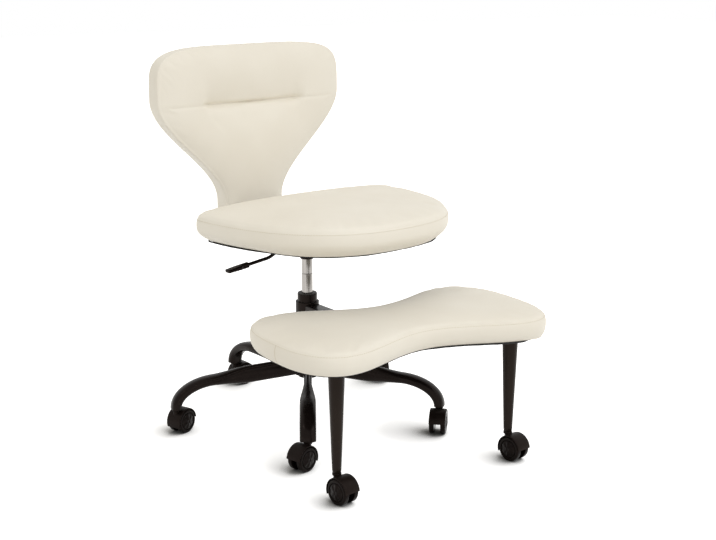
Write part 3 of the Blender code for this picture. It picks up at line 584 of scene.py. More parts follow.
def legShell():
    # an oval carried along a line and a quarter of an ellipse; its width and height change over between two radii
    s = legSize
    knee = starRadius - s["bend"]
    t = np.linspace(0.0, 1.0, 30)[:, None]
    first = np.array([s["hub"] - s["overlap"], 0.0, s["rootHeight"]])
    line = first + t[:-1] * (np.array([knee, 0.0, s["kneeHeight"]]) - first)
    a = np.linspace(0.0, np.pi / 2, 40)
    drop = s["kneeHeight"] - footHeight
    arc = np.stack([knee + s["bend"] * np.sin(a), np.zeros(40), footHeight + drop * np.cos(a)], -1)
    path = np.vstack([line, arc])
    along = directions(path)
    along[-1] = -zWay
    up = quarterUp(along)
    low, high = s["press"]
    share = softStep((path[:, :1] - low) / (high - low))
    size = (np.array(s["root"]) + (np.array(s["tip"]) - s["root"]) * share) / 2
    section = oval(40, s["squareness"])
    # the open end has a rolled edge and a plug set in
    lip = [carried(path[-1:] + (0, 0, dz), yWay, up[-1:], section, size[-1:] - inset) for inset, dz in s["lip"]]
    tube = skin(np.vstack([carried(path, yWay, up, section, size), *lip]))
    # the weld is a small, lumpy circle carried round the root
    around = oval(60, s["squareness"]) * (size[0] + s["weldOut"])
    spot = np.stack([np.full(60, s["hub"] + s["overlap"]), around[:, 0], s["rootHeight"] + around[:, 1]], -1)
    out = np.column_stack([np.zeros(60), unit(around)])
    lumps = 1 + s["lump"] * np.sin(np.arange(60) * s["lumpPace"])[:, None] * np.ones((1, 2))
    return together([tube, skin(carried(spot, out, xWay, circle(10, s["bead"]), lumps), True)])


def makeBase():
    leg = legShell()
    for i in range(len(casterTurns)):
        node = f"base_leg_{i + 1}"
        piece(node + ".pressed", atColumn(leg, starTurn + starStep * i), blackCoat, "base", [node])


# rings: inner and outer radius, low and high end, outer edge
columnSize = {"hub": (0.0253, 0.0293, 0.1175, 0.1675, 0.0016), "tube": (0.0234, 0.025, 0.1135, 0.332, 0.0008),
              "sleeve": (0.0277, 0.0299, 0.1681, 0.3129, 0.0011), "innerEdge": 0.0003,
              "bush": ((0.0143, 0.257), (0.0231, 0.257), (0.0231, 0.3323), (0.0242, 0.3323), (0.0242, 0.3348),
                       (0.0156, 0.3348), (0.0143, 0.3336)),
              "bushEdges": (0.0003, 0.0003, 0.0002, 0.0004, 0.0011, 0.0004, 0.0004),
              "cylinder": 0.014, "cylinderEnds": (0.203, 0.423), "cone": (0.0128, 0.480),
              "groove": 0.385, "grooveHalf": (0.0012, 0.0006), "grooveDepth": 0.0012,
              "cylinderEdges": (0, 0.001, 0.0003, 0.0003, 0.0003, 0.0003, 0.0006, 0.0006, 0)}


def ringShell(inner, outer, low, high, edge):
    # a wall of four corners, rounded, carried round the column
    small = columnSize["innerEdge"]
    wall = rounded([(inner, low), (outer, low), (outer, high), (inner, high)], (small, edge, edge, small), 5, True)
    return atColumn(turned(wall, 72, True))


def makeColumn():
    # rings and profiles carried round the column's axis
    s = columnSize
    piece("hub.ring", ringShell(*s["hub"]), blackCoat, "base", ["base_hub"])
    piece("column_tube.drawn", ringShell(*s["tube"]), blackCoat, "base", ["column_tube"])
    bush = turned(rounded(s["bush"], s["bushEdges"], 4, True), 72, True)
    piece("guide_bush.lip", atColumn(bush), greyNylon, "base", ["column_guide_bush"])
    r, (low, high), (tip, top) = s["cylinder"], s["cylinderEnds"], s["cone"]
    groove, (wide, narrow), deep = s["groove"], s["grooveHalf"], s["cylinder"] - s["grooveDepth"]
    body = rounded([(0.0, low), (r, low), (r, groove - wide), (deep, groove - narrow), (deep, groove + narrow),
                    (r, groove + wide), (r, high), (tip, top), (0.0, top)], s["cylinderEdges"], 3)
    piece("gas_cylinder.ground", atColumn(turned(body, 72)), chromed, "lift", ["gas_cylinder"])
    piece("footrest_sleeve.drawn", ringShell(*s["sleeve"]), blackCoat, "footrest", ["footrest_sleeve"])


makeBase()
makeColumn()
print("base: legs, hub, column and lift")

# footrest frame

armSize = {"wide": 0.040, "high": 0.025, "edge": 0.004, "top": 0.3129, "end": 0.470, "bend": 0.300, "drop": 0.006,
           "tip": 0.012, "saddle": 0.0305, "bolts": (0.335, 0.435), "head": (0.0058, 0.0045, 0.0085),
           "plug": ((0.995, 0.0004), (0.985, 0.0022), (0.95, 0.0030), (0.6, 0.0034), (0.2, 0.0035))}
restLegSize = {"top": 0.019, "tip": 0.0105, "tipRoll": 0.0012, "tipHeight": 0.006, "fillet": 0.003,
               "filletHeight": 0.004, "flange": 0.038, "flangeTop": 0.3129, "flangeUnder": 0.3099,
               "boltCircle": 0.029, "boltTurns": (90, 210, 330), "head": (0.0055, 0.0042, 0.0075),
               "edges": (0, 0.0011, 0.003, 0.003, 0.0012, 0.0009, 0.0009, 0)}


def armShell():
    # a rounded square tube cut to the sleeve's round behind, rising to a bend and level from there; its underside
    # rises towards the front end, which is plugged
    s = armSize
    section = box(s["wide"] / 2, s["high"] / 2, s["edge"], 6)
    x, z = section[:, 0], s["top"] - s["high"] / 2 + section[:, 1]
    rear = np.stack([x, -np.sqrt(s["saddle"] ** 2 - x ** 2), z - s["drop"]], -1)
    bend = np.stack([x, np.full(len(x), -s["bend"]), z], -1)
    front = np.stack([x, np.full(len(x), -s["end"]), s["top"] - (s["top"] - z) * s["tip"] / s["high"]], -1)
    share = np.linspace(0.0, 1.0, 6)[:, None, None]
    middle = np.array([0.0, -s["end"], s["top"] - s["tip"] / 2])
    plug = np.stack([middle + (front - middle) * size - (0, out, 0) for size, out in s["plug"]])
    tube = skin(np.vstack([rear + (bend - rear) * share[:-1], bend + (front - bend) * share, plug]))
    under = np.interp(s["bolts"], (s["bend"], s["end"]), (s["high"], s["tip"]))
    head = upsideDown(hexHead(*s["head"]))
    heads = [moved(head, 0, (0, -y, s["top"] - down)) for y, down in zip(s["bolts"], under)]
    return atColumn(together([tube, *heads]))


def restLegShell():
    # profile of a rolled tip, a straight taper, a weld fillet and a plate, turned; three bolts hang from the plate
    s = restLegSize
    under, top, wide = s["flangeUnder"], s["flangeTop"], s["flange"]
    taper = rounded([(0.0, footHeight), (s["tip"] - s["tipRoll"], footHeight),
                     (s["tip"], footHeight + s["tipHeight"]), (s["top"], under - s["filletHeight"]),
                     (s["top"] + s["fillet"], under), (wide, under), (wide, top), (0.0, top)], s["edges"], 6)
    head = upsideDown(hexHead(*s["head"]))
    out = s["boltCircle"]
    spots = [(out * math.cos(a), out * math.sin(a), under) for a in np.radians(s["boltTurns"])]
    return together([turned(taper, 64)] + [moved(head, 0, spot) for spot in spots])


def makeRestFrame():
    piece("footrest_arm.tube", armShell(), blackCoat, "footrest", ["footrest_arm"])
    leg = restLegShell()
    for side, x in restLegX.items():
        node = f"footrest_leg_{side}"
        placed = moved(leg, 0, (x, columnY - restLegAhead, 0))
        piece(node + ".tapered", placed, legCoat, "footrest", [node])


makeRestFrame()
print("footrest frame: arm and legs")

# height lever and back bar

leverSize = {"height": 0.4896, "rod": 0.0043, "tip": 0.003, "shoulder": 0.046, "elbow": 0.113, "level": 0.148,
             "drop": 0.051, "fillet": 0.016, "socket": 0.022, "start": 0.184, "end": 0.246, "fall": 0.012}
gripSize = {"halfWidth": 0.011, "halfThick": 0.0056, "thinner": 0.0012, "collar": 0.0067, "squareness": 0.55,
            "swell": (0.28, 0.16), "rootRound": (0.02, 0.15), "endRound": (0.96, 0.04, 0.4), "endLeft": 0.03,
            "grooves": 4, "grooveDepth": 0.0013, "grooveSpan": (0.45, 0.97), "grooveRun": 0.06, "groovePitch": 0.5,
            "thinFrom": 0.5, "firstRows": (0.0, 0.004, 0.012), "rows": (0.02, 0.97, 60),
            "lastRows": (0.983, 0.993, 0.999)}


def makeLever():
    # rod: a circle along a path with two rounded corners; grip: a squarish oval that swells from a round collar, has
    # both ends rounded as ellipses and cosine grooves pressed into its underside
    s, g = leverSize, gripSize
    fall = np.array([s["level"] - s["end"], 0.0, -s["fall"]])
    fall = fall / np.linalg.norm(fall)
    level = np.array([-s["level"], 0.0, s["height"] - s["drop"]])
    grip = level + fall * (s["start"] - s["level"])
    elbow = level + fall * (s["elbow"] - s["level"])
    corners = [(s["tip"], 0, s["height"]), (-s["shoulder"], 0, s["height"]), elbow, grip + fall * s["socket"]]
    path = rounded(corners, s["fillet"], 12)
    rod = skin(carried(path, yWay, quarterUp(directions(path)), circle(24, s["rod"])))
    piece("lever_rod.bent", onSeat(rod), blackCoat, "lever", ["lever_rod"])

    t = np.concatenate([g["firstRows"], np.linspace(*g["rows"]), g["lastRows"]])
    (swellFrom, swellRun), (rootRun, rootShare) = g["swell"], g["rootRound"]
    endFrom, endRun, endShare = g["endRound"]
    grow = softStep((t - swellFrom) / swellRun)
    root = np.sqrt(1 - np.clip(1 - t / rootRun, 0, 1) ** 2) * rootShare + (1 - rootShare)
    end = np.maximum(1 - np.clip((t - endFrom) / endRun, 0, 1) ** 2, g["endLeft"])
    end = np.sqrt(end) * endShare + (1 - endShare)
    flat = g["halfThick"] - g["thinner"] * softStep((t - g["thinFrom"]) / (1 - g["thinFrom"]))
    wide, thick = [(g["collar"] + (half - g["collar"]) * grow) * root * end for half in (g["halfWidth"], flat)]
    line = grip + fall * (t * (s["end"] - s["start"]))[:, None]
    rise = -quarterUp(np.broadcast_to(fall, line.shape))
    rings = carried(line, yWay, rise, oval(48, g["squareness"]), np.stack([wide, thick], -1))
    first, last = g["grooveSpan"]
    wave = 0.5 - 0.5 * np.cos(2 * np.pi * g["grooves"] * (t - first) / g["groovePitch"])
    wave = softStep((t - first) / g["grooveRun"]) * softStep((last - t) / g["grooveRun"]) * wave
    under = np.clip(-(rings - line[:, None]) @ rise[0] / g["halfThick"], 0.0, 1.0)
    rings = rings + (g["grooveDepth"] * wave[:, None] * under)[..., None] * rise[0]
    piece("lever_paddle.grip", onSeat(skin(rings)), hoodPlastic, "lever", ["lever_paddle"],
          sharp=60.0)


backSize = {"reach": 0.272, "lean": 0.5, "seat": 0.505, "halfWidth": 0.283, "neck": 0.088, "bottom": -0.008,
            "neckEnd": 0.040, "widest": 0.308, "top": 0.439, "arch": 4.8, "corner": 0.012, "middle": (0.0, 0.262),
            "cells": 76, "side": 0.050, "crown": 0.018, "domePower": 2.1, "startShare": 0.75, "cap": 0.016,
            "lift": 0.006, "rim": (0.006, 0.004), "rimShare": 0.3, "swell": 0.0035, "swellSpan": (0.2, 0.6),
            "turnIn": 0.0042, "turnSpan": (0.91, 0.09), "seamDrop": 0.0004, "gap": 0.0003, "foam": (0.0008, 0.15),
            "fill": 0.75}
barSize = {"width": 0.060, "thick": 0.005, "edge": 0.0013, "bend": 0.028, "start": 0.026, "top": 0.235,
           "floor": 0.4609, "gap": 0.0003, "boltRows": (0.080, 0.200), "boltOut": 0.018,
           "head": (0.0058, 0.0046, 0.0085)}


def onBack(x, depth, height):
    # place in the leaning back's own frame, from the column: depth is towards the sitter
    lean = math.radians(backSize["lean"])
    y = backSize["reach"] - depth * math.cos(lean) + height * math.sin(lean)
    z = backSize["seat"] + depth * math.sin(lean) + height * math.cos(lean)
    return np.stack(np.broadcast_arrays(x, y, z), -1)


def onSeat(shell):
    # turned with the seat
    return atColumn(shell, seatTurn)


def makeBackBar():
    # a rounded flat section carried along the seat's channel, round one bend and up the back
    b = barSize
    lean = math.radians(backSize["lean"])
    foot = onBack(0.0, -(b["gap"] + b["thick"] / 2), 0.0)
    way = np.array([0.0, math.sin(lean), math.cos(lean)])
    level = b["floor"] + b["gap"] + b["thick"] / 2
    corner = foot + way * ((level - foot[2]) / way[2])
    sweep = math.pi / 2 - lean
    centre = corner + (0.0, -b["bend"] * math.tan(sweep / 2), b["bend"])
    a = np.linspace(0.0, sweep, 20)
    arc = centre + b["bend"] * np.stack([np.zeros(20), np.sin(a), -np.cos(a)], -1)
    path = np.vstack([[(0.0, b["start"], level)], arc, [foot + way * b["top"]]])
    up = np.vstack([[zWay], np.stack([np.zeros(20), -np.sin(a), np.cos(a)], -1)])
    up = np.vstack([up, up[-1:]])
    section = box(b["width"] / 2, b["thick"] / 2, b["edge"], 4)
    shells = [skin(carried(path, xWay, up, section))]
    points, quads, tris = hexHead(*b["head"])
    for height in b["boltRows"]:
        for x in (-b["boltOut"], b["boltOut"]):
            spot = onBack(x + points[:, 0], -(b["gap"] + b["thick"] + points[:, 2]), height + points[:, 1])
            shells.append(facingOut(spot, quads, tris))
    piece("back_bar.bent", onSeat(together(shells)), blackCoat, "seat", ["back_bar"])


makeLever()
makeBackBar()
print("lever and back bar")

# cushions

curveSteps = 2400
seatSize = {"half": 0.310, "front": 0.365, "rear": 0.100, "widest": 0.025, "frontRound": 2.38, "rearRound": 2.0,
            "middle": (0.0, -0.1325), "bottom": 0.505, "boxing": 0.062, "crown": 0.014, "tuck": 0.031, "seamAt": 0.88,
            "sag": 0.005, "sagWay": (0.0, -1.0), "sagFrom": 0.12, "sagRun": 0.14,
            "turn": seatTurn, "startShare": 0.95, "cap": 0.024, "lift": 0.006,
            "hide": (0.45, (0.12, 0.10), (0.16, 0.12))}
restSize = {"half": 0.342, "depth": 0.413, "waist": 0.111, "lobe": 0.247, "full": 1.04, "round": 2.8,
            "middle": (0.0, -0.413), "bottom": 0.315, "boxing": 0.047, "crown": 0.013, "tuck": 0.009, "seamAt": 0.96,
            "sag": 0.0055, "sagWay": (1.0, 0.0), "sagFrom": 0.225, "sagRun": 0.07, "join": (-0.342, -0.433),
            "turn": 0.0, "startShare": 0.90, "cap": 0.016, "lift": 0.005, "hide": ((0.02, 0.07), (0.215, 0.04))}
netSize = {"cells": 64, "pocket": 0.0123, "boardMargin": 0.0167, "topInset": 0.007, "crownPower": 3.0,
           "seamDip": 0.0016, "tuckTo": 0.5, "over": (0.55, 0.45, 3.2), "underRows": 4,
           "heldRows": 6, "sagShare": 0.6, "fill": 0.85, "evenShare": 0.35, "rowReach": 0.005}
sideRows = np.array([0.025, 0.07, 0.13, 0.21, 0.31, 0.42, 0.54, 0.65, 0.75, 0.83, 0.88, 0.92, 0.96, 0.985])
# height and wave length of what leaves a cover uneven
unevenSize = {"foam": (0.0010, 0.16), "pucker": (0.0006, 0.026), "crease": (0.0012, 0.11), "creaseFlat": (1, 1, 6),
              "seamReach": 0.012, "centreDrop": 0.02}
stitchSize = {"pitch": 0.0062, "length": 0.0046, "radius": 0.00045, "steps": (-1.0, -0.8, 0.0, 0.8, 1.0),
              "sizes": (0.25, 0.85, 1.0, 0.85, 0.25), "join": (0.0009, 0.0004), "rise": 0.5, "faceStep": 0.01}
hemSize = {"drop": 0.0012, "wave": 0.0010, "wide": 0.0026, "thick": 0.0018, "waveLength": 0.09, "every": 4,
           "edge": 0.001, "tucked": 0.011, "fine": 0.6, "heavy": 0.45, "heavyLength": 0.30, "thinner": 0.35,
           "sway": 0.0010}
fillFrames = 20
filling = {"quality": 6, "mass": 0.3, "tension_stiffness": 15.0, "compression_stiffness": 15.0,
           "shear_stiffness": 7.5, "bending_stiffness": 0.8, "use_pressure": True,
           "uniform_pressure_force": 4.0, "vertex_group_mass": "sewn"}


def evenly(curve):
    # a closed curve taken at equal steps along its length
    closed = np.vstack([curve, curve[:1]])
    marks = lengths(closed)
    at = np.arange(curveSteps) / curveSteps * marks[-1]
    return np.stack([np.interp(at, marks, closed[:, k]) for k in (0, 1)], -1)


def seatCurve():
    # two half superellipses that meet at the widest line
    s = seatSize
    a = turns(curveSteps)
    front = np.sin(a) < 0
    power = np.where(front, 2 / s["frontRound"], 2 / s["rearRound"])
    depth = np.where(front, s["front"] + s["widest"], s["rear"] - s["widest"])
    x, y = s["half"] * powered(np.cos(a), power), depth * powered(np.sin(a), power) + s["widest"]
    return evenly(np.stack([x, y], -1))


def restCurve():
    # a superellipse whose depth grows from the waist into two lobes
    s = restSize
    a = turns(curveSteps)
    share = powered(np.cos(a), 2 / s["round"])
    depth = s["waist"] + (s["lobe"] - s["waist"]) * softStep(np.abs(share) / s["full"])
    return evenly(np.stack([s["half"] * share, depth * powered(np.sin(a), 2 / s["round"]) - s["depth"]], -1))


def backCurve():
    # straight neck, S-curved shoulders and a superellipse over the top, mirrored; the lower corners are rounded
    s = backSize
    neck, half, low, wide = s["neck"], s["halfWidth"], s["neckEnd"], s["widest"]
    h = np.linspace(low, wide, 500)
    shoulder = neck + (half - neck) * softStep((h - low) / (wide - low))
    a = np.linspace(0.0, np.pi / 2, 500)[1:]
    archX = half * powered(np.cos(a), 2 / s["arch"])
    archH = wide + (s["top"] - wide) * powered(np.sin(a), 2 / s["arch"])
    corner = rounded([(0.0, s["bottom"]), (neck, s["bottom"]), (neck, low)], (0, s["corner"], 0), 10)
    right = np.vstack([corner, np.stack([shoulder, h], -1)[1:], np.stack([archX, archH], -1)])
    return evenly(np.vstack([right, right[1:-1][::-1] * (-1, 1)]))


def squareTo(line, step):
    # out of a closed curve, square to the line between the points this many steps to each side
    way = np.roll(line, -step, 0) - np.roll(line, step, 0)
    return np.stack([way[:, 1], -way[:, 0]], -1)


def insetCurve(curve, distance):
    # pulled in along its own normals, taken over a few steps
    normal = squareTo(curve, 6)
    return curve - distance * normal / np.linalg.norm(normal, axis=1, keepdims=True)


def drawnCurve(curve, middle, distance):
    # pulled straight towards the middle, so that tight corners don't cross
    way = np.asarray(middle) - curve
    return curve + distance * way / np.linalg.norm(way, axis=1, keepdims=True)


def curveAt(curve, turn):
    # the curve at a share of its length
    spot = (turn % 1.0) * len(curve)
    low = np.floor(spot).astype(int)
    part = (spot - low)[..., None]
    return curve[low % len(curve)] * (1 - part) + curve[(low + 1) % len(curve)] * part


def discGrid(cells):
    # a square net laid over a round panel: how far out each knot is, and where along the rim
    a = np.linspace(-1.0, 1.0, cells + 1)
    s, t = np.meshgrid(a, a, indexing="ij")
    ring = np.maximum(np.abs(s), np.abs(t))
    safe = np.where(ring > 0, ring, 1.0)
    s, t = s / safe, t / safe
    turn = np.select([s >= 1, t >= 1, s <= -1], [(t + 1) / 2, 1 + (1 - s) / 2, 2 + (1 - t) / 2], 3 + (1 + s) / 2) / 4
    j = np.arange(cells)
    full = np.full(cells, cells)
    rows = np.concatenate([full, cells - j, 0 * j, j])
    cols = np.concatenate([j, full, cells - j, 0 * j])
    k = (np.arange(cells)[:, None] * (cells + 1) + np.arange(cells)[None, :]).ravel()
    quads = np.stack([k, k + 1, k + cells + 2, k + cells + 1], -1)
    return ring.ravel(), turn.ravel(), rows * (cells + 1) + cols, quads


def padNet(inner, middle, bands, crown, cells, power):
    # rows of inset and height round the sides, a flat net under, and a crowned net on top; the last row is the seam
    ring, turn, rim, quads = discGrid(cells)
    disc, around = (cells + 1) ** 2, 4 * cells
    rimTurn = np.arange(around) / around
    even = netSize["evenShare"]
    share = even * ring + (1 - even) * np.sin(np.pi / 2 * ring)  # knots closer together towards the rim

    def net(inset, height, rise):
        flat = middle + share[:, None] * (curveAt(inner(inset), turn) - middle)
        return np.column_stack([flat, height + rise * np.clip(1 - share ** power, 0, 1) ** (1 / power)])

    sides = [np.column_stack([curveAt(inner(d), rimTurn), np.full(around, z)]) for d, z in bands[1:-1]]
    points = np.vstack([net(*bands[0], 0.0), net(*bands[-1], crown), *sides])
    rings = [rim] + [2 * disc + i * around + np.arange(around) for i in range(len(sides))] + [rim + disc]
    walls = [np.stack([a, np.roll(a, -1), np.roll(b, -1), b], -1) for a, b in zip(rings, rings[1:])]
    faces = np.vstack([quads, quads[:, ::-1] + disc, *walls])
    return *facingOut(points, faces, noTris)[:2], rings


def filled(name, points, quads, held, cap, target):
    # the sewn cover is blown up by its filling: held points stay, the others move out, at most as far as the cap
    mesh = bpy.data.meshes.new(name)
    mesh.from_pydata(points.tolist(), [], quads.tolist())
    cover = put(name, mesh)
    group = cover.vertex_groups.new(name="sewn")
    group.add(np.flatnonzero(held).tolist(), 1.0, "REPLACE")
    cloth = cover.modifiers.new("filling", "CLOTH")
    for setting, value in filling.items():
        setattr(cloth.settings, setting, value)
    cloth.settings.effector_weights.gravity = 0.0
    cloth.collision_settings.use_collision = False
    cloth.point_cache.frame_start = 1
    cloth.point_cache.frame_end = fillFrames
    for step in range(1, fillFrames + 1):
        scene.frame_set(step)
    graph = bpy.context.evaluated_depsgraph_get()
    blown = np.zeros(len(points) * 3)
    cover.evaluated_get(graph).data.vertices.foreach_get("co", blown)
    shift = blown.reshape(-1, 3) - points
    bpy.data.objects.remove(cover)
    scene.frame_set(1)
    length = np.linalg.norm(shift, axis=1, keepdims=True)
    print(name, "filling moved", round(float(length.max()) * 1000, 1), "mm at most")
    shift *= np.minimum(1.0, cap * np.tanh(length / cap) / np.maximum(length, 1e-9))
    return points + shift * min(1.0, target / max(float(np.abs(shift).max()), 1e-9))


def softPiece(shell, body, node):
    # a leather cover, smoothed once, that stands for a padded solid
    made = piece(node + ".cover", shell, leather, body, [node], sharp=None)
    finer = made.modifiers.new("smooth", "SUBSURF")
    finer.levels = finer.render_levels = 1


def sideBands(s):
    # inset and height: drawn in under the edge as a parabola, a full band, a dip at the sewn row, rounded over on top
    n, v, bottom = netSize, sideRows, s["bottom"]
    start, run, power = n["over"]
    inset = s["tuck"] * np.clip(1 - v / n["tuckTo"], 0, 1) ** 2
    inset += n["topInset"] * np.clip((v - start) / run, 0, 1) ** power
    inset += n["seamDip"] * (np.abs(v - s["seamAt"]) < n["rowReach"])
    board = s["tuck"] + n["boardMargin"]
    bands = [(board, bottom + n["pocket"]), (board, bottom), ((board + s["tuck"]) / 2, bottom), (s["tuck"], bottom)]
    bands += [(d, bottom + s["boxing"] * k) for d, k in zip(inset, v)]
    return bands + [(n["topInset"], bottom + s["boxing"])]


def stitchRow(line, outward):
    # small capsules laid end to end along a closed line: rings of six points whose size falls off at both ends
    s, length, radius = stitchSize, stitchSize["length"], stitchSize["radius"]
    marks = lengths(line)
    at = np.arange(0.5, math.floor(marks[-1] / s["pitch"])) * s["pitch"]
    spot, face = [np.stack([np.interp(at, marks, rows[:, k]) for k in range(3)], -1) for rows in (line, outward)]
    way = np.stack([np.interp(at + length / 2, marks, line[:, k]) for k in range(3)], -1) - spot
    way /= np.maximum(np.linalg.norm(way, axis=1, keepdims=True), 1e-9)
    face = unit(face)
    side = np.cross(way, face)
    t, size = np.array(s["steps"]), radius * np.array(s["sizes"])
    a = np.arange(6) * np.pi / 3
    wheel = face[:, None, None] * np.sin(a)[:, None] + side[:, None, None] * np.cos(a)[:, None]
    rise = s["rise"] * radius * (1 - t ** 2)
    centre = spot[:, None] + way[:, None] * (t * length / 2)[:, None] + face[:, None] * rise[:, None]
    rings = centre[:, :, None] + wheel * size[:, None, None]
    shells = np.arange(len(at))[:, None, None] * len(t) * len(a)
    ends = np.array([[0, 1, 2, 3], [0, 3, 4, 5], [27, 26, 25, 24], [29, 28, 27, 24]])[:, ::-1]
    quads = [(cells[None] + shells).reshape(-1, 4) for cells in (ringQuads(len(t), len(a), False), ends)]
    return facingOut(rings.reshape(-1, 3), np.vstack(quads), noTris)


def edgeSag(points, s):
    # the lower edge hangs a little towards one side
    return s["sag"] * softStep((points[:, :2] @ np.array(s["sagWay"]) - s["sagFrom"]) / s["sagRun"])


def makeHem(name, inner, s, hidden, body, seed):
    # black lining folded under the edge: a flat oval carried round the underside, waving as it is stapled; it draws
    # back under the cushion where hidden is 1
    h = hemSize
    line, back = [inner(s["tuck"] + inset)[::h["every"]] for inset in (-h["edge"], h["tucked"])]
    tucked = hidden(line)
    line = line + (back - line) * tucked[:, None]
    out = unit(squareTo(line, 1))
    wave = ripple(line, h["waveLength"], seed) + h["fine"] * ripple(line, h["waveLength"] / 3, seed + 1)
    heavy = (1 + h["heavy"] * ripple(line, h["heavyLength"], seed + 2)) * (1 - h["thinner"] * tucked)
    path = np.column_stack([line + out * (h["sway"] * wave)[:, None], np.full(len(line), s["bottom"] - h["drop"])])
    path[:, 2] -= h["wave"] * (0.5 + 0.5 * wave) * (1 - tucked) + edgeSag(line, s) * (1 - tucked ** 4)
    out = np.column_stack([out, np.zeros(len(line))])
    rings = carried(path, out, zWay, circle(12), np.stack([np.full(len(line), h["wide"]), h["thick"] * heavy], -1))
    piece(name, atColumn(skin(rings, True), s["turn"]), dustCloth, body)


def sideJoin(points, rings, spot):
    # where the side strip's ends are sewn together: a thin lens carried up the net's column nearest to the spot
    third = rings[4]  # about a third of the way up
    column = int(np.argmin(np.linalg.norm(points[third][:, :2] - spot, axis=1)))
    path = points[[ring[column] for ring in rings]]
    across = unit(points[[ring[(column + 1) % len(ring)] for ring in rings]] - path)
    out = unit(np.cross(across, directions(path)))
    return skin(carried(path, across, out, circle(10) * stitchSize["join"]))


def makePad(body, s, curve, inner, hidden, seed):
    # the net is filled; waves then leave the foam uneven, pucker the leather along its seam and crease the side
    n, u = netSize, unevenSize
    node, cells, middle = body + "_cushion", n["cells"], np.asarray(s["middle"])
    crown = s["crown"] * s["startShare"]
    points, quads, rings = padNet(inner, middle, sideBands(s), crown, cells, n["crownPower"])
    low = np.clip(1 - (points[:, 2] - s["bottom"]) / (n["sagShare"] * s["boxing"]), 0, 1)
    points[:, 2] -= edgeSag(points, s) * low
    held = np.zeros(len(points), bool)
    held[:(cells + 1) ** 2] = True
    sewn = n["underRows"] + int(np.argmin(np.abs(sideRows - s["seamAt"])))
    for ring in rings[:n["heldRows"]] + [rings[sewn]]:
        held[ring] = True
    points = filled(node + ".cover", points, quads, held, s["cap"], s["lift"])
    seam = s["bottom"] + s["boxing"] * s["seamAt"]
    near = hump(points[:, 2] - seam, u["seamReach"])
    out = unit(points - np.array([*middle, seam - u["centreDrop"]]))
    (foam, foamLength), (pucker, puckerLength), (crease, creaseLength) = u["foam"], u["pucker"], u["crease"]
    uneven = foam * ripple(points, foamLength, seed) + pucker * near * ripple(points, puckerLength, seed + 1)
    creases = crease * near * np.clip(ripple(points * u["creaseFlat"], creaseLength, seed + 2), 0, 1) ** 2
    points = points + out * ((uneven - creases) * ~held)[:, None]
    softPiece(atColumn((points, quads, noTris), s["turn"]), body, node)

    # the stitched line below the seam
    turn = np.arange(4 * cells) / (4 * cells)
    row = points[np.append(rings[sewn - 1], rings[sewn - 1][:1])]
    face = curveAt(curve, turn) - curveAt(insetCurve(curve, stitchSize["faceStep"]), turn)
    face = np.append(face, np.zeros((len(turn), 1)), 1)
    threads = stitchRow(row, np.vstack([face, face[:1]]))
    if "join" in s:
        threads = together([threads, sideJoin(points, rings[n["underRows"]:sewn], s["join"])])
    piece(node + ".stitches", atColumn(threads, s["turn"]), thread, body)
    makeHem(node + ".hem", inner, s, hidden, body, seed + 5)


def seatHidden(line):
    # less of the lining shows along the front
    share, (front, frontRun), (side, sideRun) = seatSize["hide"]
    return share * softStep((-line[:, 1] - front) / frontRun) * softStep((side - line[:, 0]) / sideRun)


def restHidden(line):
    # the lining shows along the waist and under the right lobe as far as its leg
    (left, leftRun), (right, rightRun) = restSize["hide"]
    return np.maximum(softStep((left - line[:, 0]) / leftRun), softStep((line[:, 0] - right) / rightRun))


seatEdge, restEdge = seatCurve(), restCurve()
makePad("seat", seatSize, seatEdge, lambda inset: drawnCurve(seatEdge, seatSize["middle"], inset), seatHidden, 11)
makePad("footrest", restSize, restEdge, lambda inset: insetCurve(restEdge, inset), restHidden, 23)
print("seat and footrest cushions")

backEdge = backCurve()
backRows = np.array([0.03, 0.09, 0.2, 0.35, 0.5, 0.65, 0.8, 0.9, 0.95, 0.985])
pleatSize = {"height": 0.293, "half": 0.155, "depth": 0.021, "pressed": 0.75, "above": 0.032, "below": 0.013,
             "power": 1.4, "fade": (0.86, 0.22), "gather": 0.76, "gatherReach": 0.030, "sewn": 0.0022,
             "crease": 0.0080, "creaseWidth": 0.0028, "creasePower": 1.5, "line": 0.0018, "lineWidth": 0.0024,
             "endReach": (0.020, 0.022), "pucker": (0.0010, 0.020), "rimPower": 8}
panelSize = {"thick": 0.008, "inset": 0.006, "dome": 0.0014, "cells": 56, "fill": 0.5,
             "rows": ((0.002, 0.0), (0.0, 0.0004), (-0.0002, 0.003), (0.0006, 0.0052), (0.0022, 0.0066))}


def backInner(distance):
    # inwards along the normals, outwards only to the sides, so that the top keeps its height
    pulled = insetCurve(backEdge, distance)
    return pulled if distance > 0 else np.column_stack([pulled[:, 0], backEdge[:, 1]])


def backBands(s):
    # inset and depth: drawn in at the rear rim, swelling towards the front and turned in at the seam
    v, (rim, edge), side = backRows, s["rim"], s["side"]
    (swellFrom, swellRun), (turnFrom, turnRun) = s["swellSpan"], s["turnSpan"]
    inset = edge * np.clip(1 - v / s["rimShare"], 0, 1) ** 2 - s["swell"] * softStep((v - swellFrom) / swellRun)
    inset += s["turnIn"] * np.clip((v - turnFrom) / turnRun, 0, 1) ** 2
    bands = [(rim, 0.0), (edge, 0.0)] + [(d, side * k) for d, k in zip(inset, v)]
    return bands + [(s["turnIn"], side - s["seamDrop"])]


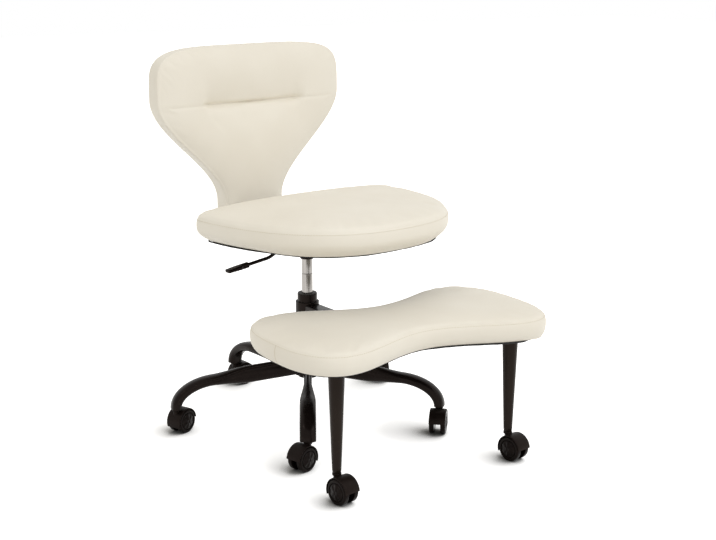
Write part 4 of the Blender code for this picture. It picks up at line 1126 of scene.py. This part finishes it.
def makeBack():
    # the same net in the back's plane: its rows gather at one pleat, which is pressed in before the filling and
    # creased after it
    s, p = backSize, pleatSize
    cells, disc = s["cells"], (s["cells"] + 1) ** 2
    crown = s["crown"] * s["startShare"]
    points, quads, rings = padNet(backInner, np.array(s["middle"]), backBands(s), crown, cells, s["domePower"])
    front = np.zeros(len(points), bool)
    front[disc:2 * disc] = True
    panel = np.zeros(len(points))
    panel[front] = 1 - discGrid(cells)[0] ** p["rimPower"]
    d = points[:, 1] - p["height"]
    points[:, 1] -= panel * p["gather"] * d * hump(d, p["gatherReach"])
    d = points[:, 1] - p["height"]
    out = np.abs(points[:, 0])
    start, run = p["fade"]
    inPleat = 1 - softStep((out - p["half"] * start) / (p["half"] * run))
    width = np.where(d > 0, p["above"], p["below"])
    points[:, 2] -= panel * inPleat * p["depth"] * p["pressed"] * np.exp(-np.abs(d / width) ** p["power"])
    held = ~front
    held[rings[-1]] = True
    held |= front & (np.abs(d) < p["sewn"]) & (out < p["half"])
    points = filled("back_cushion.cover", points, quads, held, s["cap"], s["lift"])
    d = points[:, 1] - p["height"]
    crease = p["crease"] * inPleat * np.exp(-np.abs(d / p["creaseWidth"]) ** p["creasePower"])
    crease = crease + p["line"] * hump(d, p["lineWidth"])
    tuckEnd = hump(np.abs(points[:, 0]) - p["half"], p["endReach"][0]) * hump(d, p["endReach"][1])
    (foam, foamLength), (pucker, puckerLength) = s["foam"], p["pucker"]
    uneven = foam * ripple(points, foamLength, 5) + pucker * tuckEnd * ripple(points, puckerLength, 6)
    points[:, 2] += panel * (uneven - crease)
    placed = onBack(points[:, 0], panelSize["thick"] + s["gap"] + points[:, 2], points[:, 1])
    softPiece(onSeat(facingOut(placed, quads, noTris)), "seat", "back_cushion")


def makeBackPanel():
    # the same outline a little smaller, slightly domed, its edge turned in
    s = panelSize
    bands = [(s["inset"] + d, z) for d, z in s["rows"]]
    middle = np.array(backSize["middle"])
    points, quads = padNet(backInner, middle, bands, s["dome"], s["cells"], netSize["crownPower"])[:2]
    placed = onBack(points[:, 0], s["thick"] - points[:, 2], points[:, 1])
    softPiece(onSeat(facingOut(placed, quads, noTris)), "seat", "back_panel")


makeBack()
makeBackPanel()
print("back cushion and rear panel")

# finishes of the solids that stay

keptLooks = {"seat_mechanism": blackCoat, "footrest_liner": greyNylon, "seat_dust_cover": dustCloth,
             "footrest_dust_cover": dustCloth, "seat_board": plywood, "footrest_board": plywood}
zincNodes = ["piston_rod", "column_bearing", "column_clip", "release_pin"]
keptLooks.update(dict.fromkeys(zincNodes + [place[0] + "_stem" for place in casterPlaces], zinc))
for node, look in keptLooks.items():
    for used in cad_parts[node].material_slots:
        used.material = look
print("finishes on", len(keptLooks), "solids")
